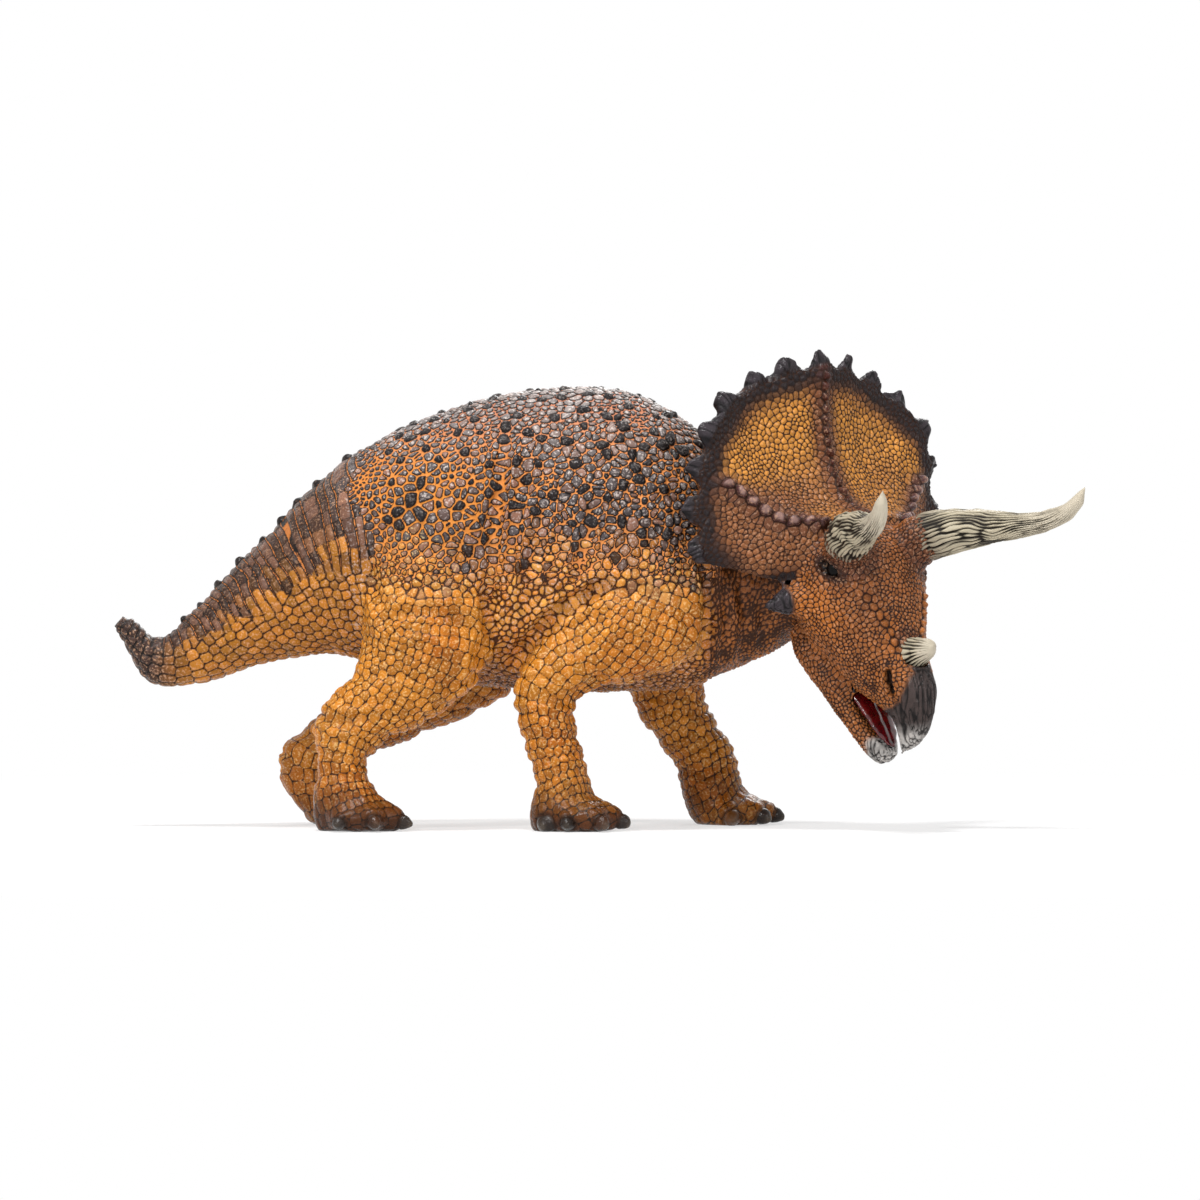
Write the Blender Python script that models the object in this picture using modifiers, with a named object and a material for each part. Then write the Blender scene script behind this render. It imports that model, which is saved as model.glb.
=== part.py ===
"""Toy horned dinosaur figure: a solid soft-plastic Triceratops, walking with its head turned.

The figure is glued together from separate mouldings, each with a peg or plug that sits in a
socket of its neighbour. X runs forward to the head, Y to the animal's left and Z up. All
sizes are in metres.
"""
import math

import bmesh
import bpy
from mathutils import Matrix, Vector

# Glue gap that every plug, peg and seam keeps, and the wider one round the frill's root
CLEARANCE = 0.0003
FRILL_CLEARANCE = 0.0004

# Trunk, from the tail seam to the neck seam
TRUNK_LENGTH = 0.0665
TRUNK_WIDTH = 0.0440
BACK_HEIGHT = 0.0793

# Tail
TAIL_LENGTH = 0.0421
TAIL_PEG_RADIUS = 0.0045
TAIL_PEG_LENGTH = 0.0080

# Neck
NECK_LENGTH = 0.0225
NECK_PEG_RADIUS = 0.0050
NECK_PEG_LENGTH = 0.0080
SKULL_PEG_RADIUS = 0.0040
SKULL_PEG_LENGTH = 0.0055

# Head
HEAD_YAW = math.radians(50)
HEAD_PITCH = math.radians(36)
SKULL_LENGTH = 0.0300
SKULL_WIDTH = 0.0250
BROW_BOSS_RADIUS = 0.0049
CHEEK_HORN_RADIUS = 0.0033
EYE_RADIUS = 0.0019
JAW_PEG_RADIUS = 0.0014
JAW_PEG_LENGTH = 0.0034
MOUTH_INSERT_THICKNESS = 0.0020

# Horns
BROW_HORN_REACH = 0.0302
BROW_HORN_RADIUS = 0.0046
BROW_HORN_SPLAY = math.radians(29)
BROW_HORN_PLUG = 0.0018
NOSE_HORN_LENGTH = 0.0056
NOSE_HORN_RADIUS = 0.0031
NOSE_HORN_PLUG = 0.0016

# Frill
FRILL_WIDTH = 0.0550
FRILL_THICKNESS = 0.0026
FRILL_SPIKE_HEIGHT = 0.0034
FRILL_SPIKE_WIDTH = 0.0061
FRILL_SPIKES_PER_SIDE = 7

# Feet
TOE_REACH = 0.0112
TOE_RADIUS = 0.0028
FLOOR_CUT_DEPTH = 0.0060

# Faces round each shape
TRUNK_SIDES = 28
HEAD_SIDES = 20
LEG_SIDES = 16
HORN_SIDES = 12
BALL_ROWS = 6
TOE_SIDES = 8
PEG_SIDES = 16
HALF_STEP_share = 0.5

# How square a section is: 2 is an ellipse
TRUNK_POWER = 2.2
HEAD_POWER = 2.4
ROUND_POWER = 2.0

# Trunk sections: place along the trunk, top and bottom as shares of the back height, full
# width as a share of the trunk's
TRUNK_shares = (
    (0.000, 0.838, 0.385, 0.68),
    (0.072, 0.878, 0.375, 0.75),
    (0.147, 0.907, 0.355, 0.82),
    (0.255, 0.941, 0.331, 0.90),
    (0.416, 0.984, 0.313, 0.98),
    (0.577, 1.000, 0.301, 1.00),
    (0.738, 0.991, 0.303, 0.96),
    (0.859, 0.957, 0.307, 0.87),
    (0.953, 0.901, 0.318, 0.77),
    (1.000, 0.862, 0.338, 0.72),
)

# Tail ribs: top x, top z, bottom x, bottom z and half width. x is a share of the tail length back
# from the seam, z of the back height and width of the trunk width
TAIL_shares = (
    (0.000, 0.838, 0.000, 0.385, 0.340),
    (0.191, 0.743, 0.098, 0.387, 0.280),
    (0.318, 0.671, 0.208, 0.385, 0.235),
    (0.445, 0.608, 0.327, 0.369, 0.195),
    (0.581, 0.525, 0.462, 0.347, 0.160),
    (0.687, 0.475, 0.594, 0.327, 0.130),
    (0.772, 0.437, 0.721, 0.318, 0.105),
    (0.822, 0.435, 0.828, 0.327, 0.092),
    (0.856, 0.455, 0.890, 0.359, 0.086),
    (0.898, 0.475, 0.940, 0.414, 0.060),
    (0.954, 0.482, 0.976, 0.439, 0.042),
)
TAIL_TIP_shares = (1.005, 0.458)

# Neck sections: place along the bend, centre as a share of the back height, then half height
# and half width as shares of those at the neck seam, and the share of the seam's pitch
NECK_shares = (
    (0.00, 0.600, 1.000, 1.000, 0.0),
    (0.25, 0.600, 0.895, 0.905, 0.1),
    (0.50, 0.594, 0.755, 0.810, 0.3),
    (0.75, 0.589, 0.605, 0.730, 0.6),
    (1.00, 0.585, 0.453, 0.665, 1.0),
)

# Leg ribs: front x, front z, rear x, rear z, centre y and half width. x is a share of the trunk
# length from the tail seam, z of the back height, and y and width of the trunk width
HIND_RIGHT_shares = (
    (0.295, 0.732, 0.134, 0.743, 0.260, 0.100),
    (0.375, 0.642, 0.072, 0.664, 0.300, 0.155),
    (0.408, 0.540, 0.045, 0.540, 0.325, 0.185),
    (0.405, 0.446, 0.042, 0.464, 0.330, 0.205),
    (0.392, 0.378, 0.042, 0.417, 0.340, 0.200),
    (0.357, 0.329, 0.032, 0.378, 0.350, 0.190),
    (0.292, 0.279, 0.005, 0.342, 0.355, 0.170),
    (0.214, 0.239, -0.035, 0.309, 0.365, 0.150),
    (0.136, 0.207, -0.073, 0.275, 0.370, 0.135),
    (0.077, 0.180, -0.092, 0.230, 0.375, 0.125),
    (0.064, 0.153, -0.086, 0.180, 0.380, 0.120),
    (0.075, 0.117, -0.084, 0.135, 0.385, 0.120),
    (0.093, 0.079, -0.089, 0.083, 0.385, 0.125),
    (0.110, 0.041, -0.086, 0.041, 0.385, 0.135),
    (0.115, -0.010, -0.073, -0.010, 0.385, 0.135),
)
HIND_LEFT_shares = (
    (0.295, 0.732, 0.134, 0.743, 0.260, 0.100),
    (0.384, 0.642, 0.072, 0.664, 0.300, 0.155),
    (0.422, 0.540, 0.045, 0.540, 0.325, 0.185),
    (0.448, 0.435, 0.040, 0.450, 0.325, 0.205),
    (0.462, 0.352, 0.032, 0.395, 0.335, 0.200),
    (0.440, 0.287, 0.010, 0.345, 0.340, 0.185),
    (0.345, 0.247, -0.022, 0.303, 0.345, 0.165),
    (0.245, 0.214, -0.068, 0.264, 0.350, 0.145),
    (0.150, 0.181, -0.120, 0.227, 0.350, 0.130),
    (0.060, 0.150, -0.172, 0.191, 0.350, 0.125),
    (0.008, 0.117, -0.198, 0.156, 0.350, 0.122),
    (0.006, 0.076, -0.190, 0.113, 0.350, 0.122),
    (0.022, 0.041, -0.165, 0.072, 0.350, 0.125),
    (0.036, 0.018, -0.128, 0.030, 0.350, 0.130),
    (0.044, -0.010, -0.096, -0.010, 0.350, 0.130),
)
FORE_RIGHT_shares = (
    (0.926, 0.687, 0.711, 0.676, 0.260, 0.100),
    (0.963, 0.608, 0.663, 0.597, 0.305, 0.155),
    (0.980, 0.507, 0.625, 0.536, 0.330, 0.175),
    (0.961, 0.410, 0.598, 0.500, 0.330, 0.200),
    (0.878, 0.356, 0.563, 0.468, 0.340, 0.185),
    (0.786, 0.333, 0.523, 0.430, 0.350, 0.168),
    (0.706, 0.322, 0.485, 0.392, 0.360, 0.152),
    (0.647, 0.306, 0.456, 0.349, 0.370, 0.142),
    (0.622, 0.279, 0.445, 0.297, 0.375, 0.135),
    (0.628, 0.239, 0.459, 0.243, 0.380, 0.127),
    (0.639, 0.185, 0.477, 0.185, 0.380, 0.122),
    (0.657, 0.135, 0.499, 0.135, 0.380, 0.120),
    (0.665, 0.090, 0.507, 0.090, 0.380, 0.122),
    (0.684, 0.050, 0.494, 0.050, 0.385, 0.140),
    (0.700, -0.010, 0.504, -0.010, 0.385, 0.142),
)
FORE_LEFT_shares = (
    (0.926, 0.687, 0.711, 0.676, 0.260, 0.100),
    (0.965, 0.608, 0.673, 0.597, 0.305, 0.155),
    (0.980, 0.518, 0.657, 0.518, 0.325, 0.170),
    (0.985, 0.439, 0.673, 0.428, 0.325, 0.170),
    (0.980, 0.378, 0.714, 0.360, 0.315, 0.168),
    (0.966, 0.329, 0.754, 0.311, 0.325, 0.150),
    (0.980, 0.279, 0.776, 0.261, 0.330, 0.138),
    (1.012, 0.223, 0.818, 0.209, 0.335, 0.128),
    (1.049, 0.173, 0.864, 0.160, 0.340, 0.122),
    (1.066, 0.126, 0.894, 0.117, 0.340, 0.120),
    (1.072, 0.086, 0.902, 0.081, 0.340, 0.122),
    (1.080, 0.052, 0.912, 0.052, 0.340, 0.132),
    (1.084, 0.023, 0.926, 0.024, 0.340, 0.136),
    (1.084, -0.010, 0.946, -0.010, 0.340, 0.136),
)

# Directions of the toes in degrees from straight ahead, to the animal's left, and the size of
# each as a share of the toe's reach and radius
HIND_RIGHT_TOE_DEGREES = (-108, -66, -21, 26)
HIND_LEFT_TOE_DEGREES = (-58, -15, 29, 71)
FORE_RIGHT_TOE_DEGREES = (-129, -93, -53, -12, 30)
FORE_LEFT_TOE_DEGREES = (-77, -35, 8, 51, 93)
HIND_RIGHT_TOE_shares = (0.89, 1.00, 1.03, 0.85)
HIND_LEFT_TOE_shares = (0.80, 0.88, 0.92, 0.83)
FORE_RIGHT_TOE_shares = (0.74, 0.90, 1.00, 1.01, 0.83)
FORE_LEFT_TOE_shares = (0.86, 0.95, 1.00, 0.91, 0.78)

# Toe sections: reach and height as shares of the toe's reach, radius as a share of the toe's
TOE_shares = (
    (0.15, 0.40, 0.80),
    (0.40, 0.31, 1.05),
    (0.62, 0.20, 1.00),
    (0.78, 0.18, 0.84),
    (0.84, 0.16, 0.62),
    (0.95, 0.10, 0.32),
)
TOE_TIP_shares = (1.00, 0.06)

# Head sections: top and bottom point (forward, up) as shares of the skull length from the
# brow's centre, and half width as a share of the skull width
SKULL_shares = (
    (-0.41, -0.19, -0.18, -0.74, 0.420),
    (-0.27, -0.02, -0.07, -0.78, 0.500),
    (-0.10, 0.00, 0.07, -0.80, 0.490),
    (0.07, -0.02, 0.20, -0.81, 0.450),
    (0.20, -0.10, 0.33, -0.82, 0.395),
    (0.37, -0.23, 0.47, -0.83, 0.315),
    (0.53, -0.36, 0.60, -0.81, 0.240),
    (0.70, -0.42, 0.72, -0.80, 0.185),
    (0.82, -0.48, 0.79, -0.83, 0.145),
    (0.915, -0.58, 0.83, -0.88, 0.105),
    (0.960, -0.70, 0.855, -0.925, 0.070),
    (0.945, -0.83, 0.865, -0.945, 0.040),
)
JAW_shares = (
    (-0.15, -0.70, -0.17, -0.89, 0.300),
    (0.00, -0.72, -0.03, -0.95, 0.340),
    (0.17, -0.74, 0.17, -0.99, 0.325),
    (0.33, -0.76, 0.33, -1.025, 0.280),
    (0.46, -0.85, 0.46, -1.06, 0.235),
    (0.60, -0.925, 0.58, -1.09, 0.190),
    (0.715, -0.97, 0.68, -1.115, 0.140),
    (0.80, -0.985, 0.76, -1.115, 0.075),
)
# How far the pointed front of the skull and the jaw stands past their last section
HEAD_NOSE_CAP_share = 0.01
# Mouth insert: forward and up as shares of the skull length, thickness as a share of its own,
# half width as a share of the skull width
MOUTH_INSERT_shares = (
    (0.30, -0.845, 0.60, 0.110),
    (0.43, -0.860, 1.00, 0.160),
    (0.57, -0.900, 0.95, 0.135),
    (0.68, -0.940, 0.80, 0.100),
    (0.76, -0.962, 0.45, 0.045),
)
JAW_PEG_PLACE_shares = (0.10, -0.84)
EYE_PLACE_shares = (0.015, 0.355, -0.215)
BROW_BOSS_PLACE_shares = (-0.010, 0.320, -0.040)
BROW_HORN_PLACE_shares = (0.000, 0.366, 0.000)
CHEEK_HORN_ROOT_shares = (-0.05, 0.37, -0.465)
CHEEK_HORN_TIP_shares = (-0.09, 0.745, -0.57)
# Cheek horn sections: reach as a share of its length, radius as a share of its root's
CHEEK_HORN_shares = ((0.00, 1.00), (0.55, 0.75), (0.85, 0.32))
NOSE_HORN_PLACE_shares = (0.600, -0.410)
NOSE_HORN_LEAN = math.radians(53)

# Horn sections: reach and rise as shares of the horn's reach, radius as a share of the base's
BROW_HORN_shares = (
    (0.000, 0.000, 1.00),
    (0.110, 0.024, 0.95),
    (0.215, 0.045, 0.87),
    (0.340, 0.058, 0.76),
    (0.470, 0.066, 0.63),
    (0.600, 0.074, 0.51),
    (0.730, 0.092, 0.40),
    (0.890, 0.152, 0.28),
    (0.960, 0.225, 0.20),
)
BROW_HORN_TIP_shares = (1.00, 0.305)
NOSE_HORN_shares = ((0.0, 1.0), (0.35, 0.84), (0.70, 0.54), (0.92, 0.26))
PLUG_RADIUS_share = 0.80

# Frill, from its lower corner to the top: root and rim points (forward, sideways, up), and how
# far the face sags between them. Sideways is a share of the frill width, the rest of the
# skull length
FRILL_shares = (
    (-0.13, 0.240, -0.44, -0.400, 0.455, -0.500, 0.000),
    (-0.14, 0.235, -0.36, -0.457, 0.482, -0.430, 0.000),
    (-0.16, 0.220, -0.27, -0.570, 0.500, -0.300, 0.030),
    (-0.18, 0.205, -0.19, -0.660, 0.500, -0.190, 0.060),
    (-0.20, 0.190, -0.12, -0.750, 0.490, -0.030, 0.090),
    (-0.22, 0.165, -0.06, -0.830, 0.464, 0.100, 0.120),
    (-0.22, 0.135, -0.02, -0.930, 0.410, 0.220, 0.150),
    (-0.22, 0.100, 0.00, -1.020, 0.327, 0.290, 0.180),
    (-0.22, 0.070, 0.01, -1.060, 0.210, 0.375, 0.200),
    (-0.22, 0.035, 0.02, -1.055, 0.110, 0.450, 0.215),
    (-0.22, 0.000, 0.02, -1.050, 0.000, 0.483, 0.220),
)
FRILL_RADIAL_STEPS = 7
FRILL_SPIKE_DEPTH_share = 0.62
FRILL_SPIKE_FLARE_share = 0.50
# Spike sections: height as a share of the spike's, width as a share of the spike's
FRILL_SPIKE_shares = ((-0.45, 1.00), (0.15, 0.94), (0.75, 0.42))
SPIKE_SIDES = 8

# Paint colours: linear red, green, blue, then roughness
SKIN_OCHRE = ((0.42, 0.17, 0.025), 0.45)
SKIN_BROWN = ((0.13, 0.055, 0.025), 0.45)
HEAD_BROWN = ((0.20, 0.07, 0.025), 0.45)
FRILL_ORANGE = ((0.30, 0.11, 0.025), 0.45)
HORN_IVORY = ((0.55, 0.47, 0.33), 0.40)
MOUTH_RED = ((0.16, 0.004, 0.010), 0.18)
EYE_BLACK = ((0.008, 0.007, 0.007), 0.10)


def clear_scene():
    """Empty the open scene of its objects."""
    for obj in list(bpy.data.objects):
        bpy.data.objects.remove(obj, do_unlink=True)


def new_collection(name):
    """Add a collection under the scene."""
    collection = bpy.data.collections.new(name)
    bpy.context.scene.collection.children.link(collection)
    return collection


def paint(obj, finish):
    """Give an object its own Principled material."""
    colour, roughness = finish
    material = bpy.data.materials.new(obj.name + "_paint")
    material.use_nodes = True
    shader = material.node_tree.nodes["Principled BSDF"]
    shader.inputs["Base Color"].default_value = (*colour, 1)
    shader.inputs["Roughness"].default_value = roughness
    shader.inputs["Metallic"].default_value = 0
    obj.data.materials.append(material)


def new_object(name, bm, is_cutter=False):
    """Turn a bmesh into a smooth-shaded object under the figure's root."""
    bmesh.ops.recalc_face_normals(bm, faces=bm.faces)
    mesh = bpy.data.meshes.new(name)
    bm.to_mesh(mesh)
    bm.free()
    mesh.shade_smooth()
    obj = bpy.data.objects.new(name, mesh)
    (CUTTERS if is_cutter else FIGURE).objects.link(obj)
    obj.parent = ROOT
    if is_cutter:
        obj.hide_render = True
        obj.display_type = "WIRE"
    return obj


def rounded(value, power):
    """Signed power of a sine or cosine, for a squarer ring."""
    return math.copysign(abs(value) ** (2 / power), value)


def ring(centre, up, side, sides, power=ROUND_POWER, first_step=0):
    """Points of a squared ellipse whose half axes are the vectors up and side."""
    points = []
    for step in range(sides):
        angle = math.tau * (step + first_step) / sides
        along_up = rounded(math.cos(angle), power)
        along_side = rounded(math.sin(angle), power)
        points.append(centre + up * along_up + side * along_side)
    return points


def close_end(bm, verts, tip):
    """Close the end of a loft, with a flat face or round a tip point."""
    if tip is None:
        bm.faces.new(verts)
        return
    pole = bm.verts.new(tip)
    for step, vert in enumerate(verts):
        bm.faces.new((vert, verts[(step + 1) % len(verts)], pole))


def loft(name, rings, start_tip=None, end_tip=None, is_cutter=False):
    """Skin a closed solid over a list of rings with the same number of points."""
    bm = bmesh.new()
    rows = [[bm.verts.new(point) for point in points] for points in rings]
    for first, second in zip(rows, rows[1:]):
        for step in range(len(first)):
            after = (step + 1) % len(first)
            bm.faces.new((first[step], first[after], second[after], second[step]))
    close_end(bm, rows[0], start_tip)
    close_end(bm, rows[-1], end_tip)
    bmesh.ops.triangulate(bm, faces=[face for face in bm.faces if len(face.verts) == 4])
    return new_object(name, bm, is_cutter)


def smooth_rows(rows, steps):
    """Fill in rows of numbers with a Catmull-Rom curve through them."""
    filled = []
    for index in range(len(rows) - 1):
        before = rows[max(index - 1, 0)]
        start = rows[index]
        end = rows[index + 1]
        after = rows[min(index + 2, len(rows) - 1)]
        for step in range(steps):
            t = step / steps
            filled.append(tuple(
                b + 0.5 * t * ((c - a) + t * ((2 * a - 5 * b + 4 * c - d) + t * (3 * (b - c) + d - a)))
                for a, b, c, d in zip(before, start, end, after)
            ))
    filled.append(rows[-1])
    return filled


def evaluated_mesh(obj):
    """A new mesh with the object's modifiers applied."""
    graph = bpy.context.evaluated_depsgraph_get()
    return bpy.data.meshes.new_from_object(obj.evaluated_get(graph))


def grown_copy(obj, amount=CLEARANCE):
    """A cutter that stands off the object's surface by the glue gap."""
    mesh = evaluated_mesh(obj)
    bm = bmesh.new()
    bm.from_mesh(mesh)
    bpy.data.meshes.remove(mesh)
    bm.normal_update()
    shifts = [vert.normal * amount * vert.calc_shell_factor() for vert in bm.verts]
    for vert, shift in zip(bm.verts, shifts):
        vert.co += shift
    return new_object(obj.name + "_pocket", bm, is_cutter=True)


def boolean(target, tool, operation):
    """Cut the target with the tool, or join the tool to it."""
    modifier = target.modifiers.new(tool.name, "BOOLEAN")
    modifier.operation = operation
    modifier.solver = "EXACT"
    modifier.object = tool


def rod(name, start, end, radius):
    """A round peg or socket cutter between two points."""
    axis = end - start
    turn = axis.to_track_quat("Z", "Y").to_matrix().to_4x4()
    bm = bmesh.new()
    bmesh.ops.create_cone(
        bm, cap_ends=True, segments=PEG_SIDES, radius1=radius, radius2=radius,
        depth=axis.length, matrix=Matrix.Translation((start + end) / 2) @ turn,
    )
    return new_object(name, bm, is_cutter=True)


def peg_and_socket(plug, socket, seat, direction, radius, length):
    """Stand a peg on one piece at a seam and sink its socket into the other."""
    root = seat - direction * radius
    peg = rod(plug.name + "_peg", root, seat + direction * length, radius)
    boolean(plug, peg, "UNION")
    bore_end = seat + direction * (length + CLEARANCE)
    bore = rod(plug.name + "_bore", root, bore_end, radius + CLEARANCE)
    boolean(socket, bore, "DIFFERENCE")


def place(x_share, z_share, y=0.0):
    """A point from its share along the trunk and up the back."""
    return Vector((x_share * TRUNK_LENGTH, y, z_share * BACK_HEIGHT))


def make_trunk():
    """The barrel-shaped body between the two seams."""
    side = Vector((0, TRUNK_WIDTH / 2, 0))
    rings = []
    for along, top, bottom, width in smooth_rows(TRUNK_shares, 2):
        high = place(along, top)
        low = place(along, bottom)
        rings.append(ring((high + low) / 2, (high - low) / 2, side * width, TRUNK_SIDES, TRUNK_POWER))
    return loft("torso", rings)


def seam_size(row):
    """Half height and half width of a trunk section."""
    _, top, bottom, width = row
    return (top - bottom) * BACK_HEIGHT / 2, width * TRUNK_WIDTH / 2


def tail_point(back_share, height_share):
    """A point over or under the tail's middle from its shares."""
    return Vector((-CLEARANCE - back_share * TAIL_LENGTH, 0, height_share * BACK_HEIGHT))


def make_tail():
    """The tail, whose tip curls up."""
    rings = []
    for index, (top_x, top_z, low_x, low_z, width) in enumerate(smooth_rows(TAIL_shares, 2)):
        top = tail_point(top_x, top_z)
        low = tail_point(low_x, low_z)
        side = Vector((0, width * TRUNK_WIDTH, 0))
        power = ROUND_POWER if index else TRUNK_POWER
        rings.append(ring((top + low) / 2, (top - low) / 2, side, TRUNK_SIDES, power))
    return loft("tail", rings, end_tip=tail_point(*TAIL_TIP_shares))


def neck_frame(along, height_share, pitch_share):
    """Where the bend of the neck has got to, and which way it faces there."""
    yaw = HEAD_YAW * along
    bend_radius = NECK_LENGTH / HEAD_YAW
    centre = Vector((
        TRUNK_LENGTH + CLEARANCE + bend_radius * math.sin(yaw),
        -bend_radius * (1 - math.cos(yaw)),
        height_share * BACK_HEIGHT,
    ))
    turn = Matrix.Rotation(-yaw, 3, "Z") @ Matrix.Rotation(seam_pitch() * pitch_share, 3, "Y")
    return centre, turn


def seam_pitch():
    """How far the neck's front seam faces down, from the lean of the skull's rear section."""
    top_x, top_z, low_x, low_z, _ = SKULL_shares[0]
    return HEAD_PITCH - math.atan2(low_x - top_x, top_z - low_z)


def make_neck():
    """The short neck, which bends to the animal's right."""
    root_height, root_width = seam_size(TRUNK_shares[-1])
    rings = []
    for along, height, tall, wide, pitch in smooth_rows(NECK_shares, 2):
        centre, turn = neck_frame(along, height, pitch)
        up = turn @ Vector((0, 0, tall * root_height))
        side = turn @ Vector((0, wide * root_width, 0))
        rings.append(ring(centre, up, side, TRUNK_SIDES, TRUNK_POWER))
    return loft("neck", rings)


def head_matrix():
    """The head's own frame: brow centre as its origin, facing along the mouth line."""
    centre, seam_turn = neck_frame(NECK_shares[-1][0], NECK_shares[-1][1], 1)
    turn = Matrix.Rotation(-HEAD_YAW, 3, "Z") @ Matrix.Rotation(HEAD_PITCH, 3, "Y")
    top_x, top_z, low_x, low_z, _ = SKULL_shares[0]
    seam = Vector(((top_x + low_x) / 2, 0, (top_z + low_z) / 2)) * SKULL_LENGTH
    origin = centre + seam_turn @ Vector((CLEARANCE, 0, 0)) - turn @ seam
    return Matrix.Translation(origin) @ turn.to_4x4()


def in_head(forward_share, sideways, up_share):
    """A point on the head from its shares of the skull length and a sideways distance."""
    return HEAD @ Vector((forward_share * SKULL_LENGTH, sideways, up_share * SKULL_LENGTH))


def head_side():
    """The head's left, as a vector."""
    return HEAD.to_3x3() @ Vector((0, 1, 0))


def head_loft(name, rows, end_share, sides=HEAD_SIDES, power=HEAD_POWER):
    """Skin a head piece over sections given by a top and a bottom point.

    The sections start half a step round, so that no ridge runs along the midplane.
    """
    rings = []
    for top_x, top_z, low_x, low_z, width in rows:
        top = in_head(top_x, 0, top_z)
        low = in_head(low_x, 0, low_z)
        side = head_side() * width * SKULL_WIDTH
        rings.append(ring((top + low) / 2, (top - low) / 2, side, sides, power, HALF_STEP_share))
    end_run = sum(rings[-1], Vector()) / sides - sum(rings[-2], Vector()) / sides
    tip = sum(rings[-1], Vector()) / sides + end_run.normalized() * end_share * SKULL_LENGTH
    return loft(name, rings, end_tip=tip)


def make_mouth_insert():
    """The red floor of the mouth with the tongue."""
    rows = []
    half = MOUTH_INSERT_THICKNESS / SKULL_LENGTH / 2
    for forward, up, thick, width in MOUTH_INSERT_shares:
        rows.append((forward, up + half * thick, forward, up - half * thick, width))
    return head_loft("mouth_insert", rows, half, HORN_SIDES, ROUND_POWER)


def head_ball(name, place_shares, hand, radius, is_cutter):
    """A ball at a place on one side of the head."""
    forward, sideways, up = place_shares
    centre = in_head(forward, hand * sideways * SKULL_WIDTH, up)
    bm = bmesh.new()
    bmesh.ops.create_uvsphere(
        bm, u_segments=HORN_SIDES, v_segments=BALL_ROWS, radius=radius,
        matrix=Matrix.Translation(centre),
    )
    return new_object(name, bm, is_cutter)


def spike_rings(root, axis, rows, radius, sides):
    """Rings of a straight cone, from rows of distance and radius share."""
    turn = axis.to_track_quat("Z", "Y").to_matrix()
    up = turn @ Vector((radius, 0, 0))
    side = turn @ Vector((0, radius, 0))
    return [ring(root + axis * distance, up * share, side * share, sides, first_step=HALF_STEP_share)
            for distance, share in rows]


def make_cheek_horn(name, hand):
    """The spike on one cheek, which is joined to the skull."""
    root = in_head(CHEEK_HORN_ROOT_shares[0], hand * CHEEK_HORN_ROOT_shares[1] * SKULL_WIDTH,
                   CHEEK_HORN_ROOT_shares[2])
    tip = in_head(CHEEK_HORN_TIP_shares[0], hand * CHEEK_HORN_TIP_shares[1] * SKULL_WIDTH,
                  CHEEK_HORN_TIP_shares[2])
    reach = tip - root
    rows = [(reach.length * along, thick) for along, thick in CHEEK_HORN_shares]
    rings = spike_rings(root, reach.normalized(), rows, CHEEK_HORN_RADIUS, HORN_SIDES)
    return loft(name, rings, end_tip=tip, is_cutter=True)


def make_brow_horn(name, hand):
    """One long brow horn: level at its root and curling up at the tip."""
    forward, sideways, up = BROW_HORN_PLACE_shares
    root = in_head(forward, hand * sideways * SKULL_WIDTH, up)
    azimuth = -HEAD_YAW + hand * BROW_HORN_SPLAY
    ahead = Vector((math.cos(azimuth), math.sin(azimuth), 0))
    side = Vector((-ahead.y, ahead.x, 0))
    rise = Vector((0, 0, 1))
    centres = [root - ahead * BROW_HORN_PLUG]
    radii = [BROW_HORN_RADIUS * PLUG_RADIUS_share]
    for reach, lift, thick in BROW_HORN_shares:
        centres.append(root + (ahead * reach + rise * lift) * BROW_HORN_REACH)
        radii.append(BROW_HORN_RADIUS * thick)
    tip = root + (ahead * BROW_HORN_TIP_shares[0] + rise * BROW_HORN_TIP_shares[1]) * BROW_HORN_REACH
    rings = []
    for index, centre in enumerate(centres):
        before = centres[max(index - 1, 0)]
        after = centres[index + 1] if index + 1 < len(centres) else tip
        run = (after - before).normalized()
        rings.append(ring(centre, run.cross(side) * radii[index], side * radii[index], HORN_SIDES))
    return loft(name, rings, end_tip=tip)


def make_nose_horn():
    """The short blunt horn on the snout."""
    forward, up = NOSE_HORN_PLACE_shares
    root = in_head(forward, 0, up)
    axis = HEAD.to_3x3() @ Vector((math.cos(NOSE_HORN_LEAN), 0, math.sin(NOSE_HORN_LEAN)))
    rows = [(-NOSE_HORN_PLUG, PLUG_RADIUS_share)]
    rows += [(reach * NOSE_HORN_LENGTH, thick) for reach, thick in NOSE_HORN_shares]
    rings = spike_rings(root, axis, rows, NOSE_HORN_RADIUS, HORN_SIDES)
    return loft("nose_horn", rings, end_tip=root + axis * NOSE_HORN_LENGTH)


def frill_rows():
    """Frill table rows for both sides, from the right lower corner round to the left."""
    right = [(-1, row) for row in FRILL_shares]
    left = [(1, row) for row in reversed(FRILL_shares[:-1])]
    return right + left


def frill_point(hand, row, radial):
    """A point of the frill's face, from its root at 0 to its rim at 1."""
    root = in_head(row[0], hand * row[1] * FRILL_WIDTH, row[2])
    rim = in_head(row[3], hand * row[4] * FRILL_WIDTH, row[5])
    sag = HEAD.to_3x3() @ Vector((0, 0, row[6] * SKULL_LENGTH))
    return root.lerp(rim, radial) - sag * 4 * radial * (1 - radial)


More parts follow.
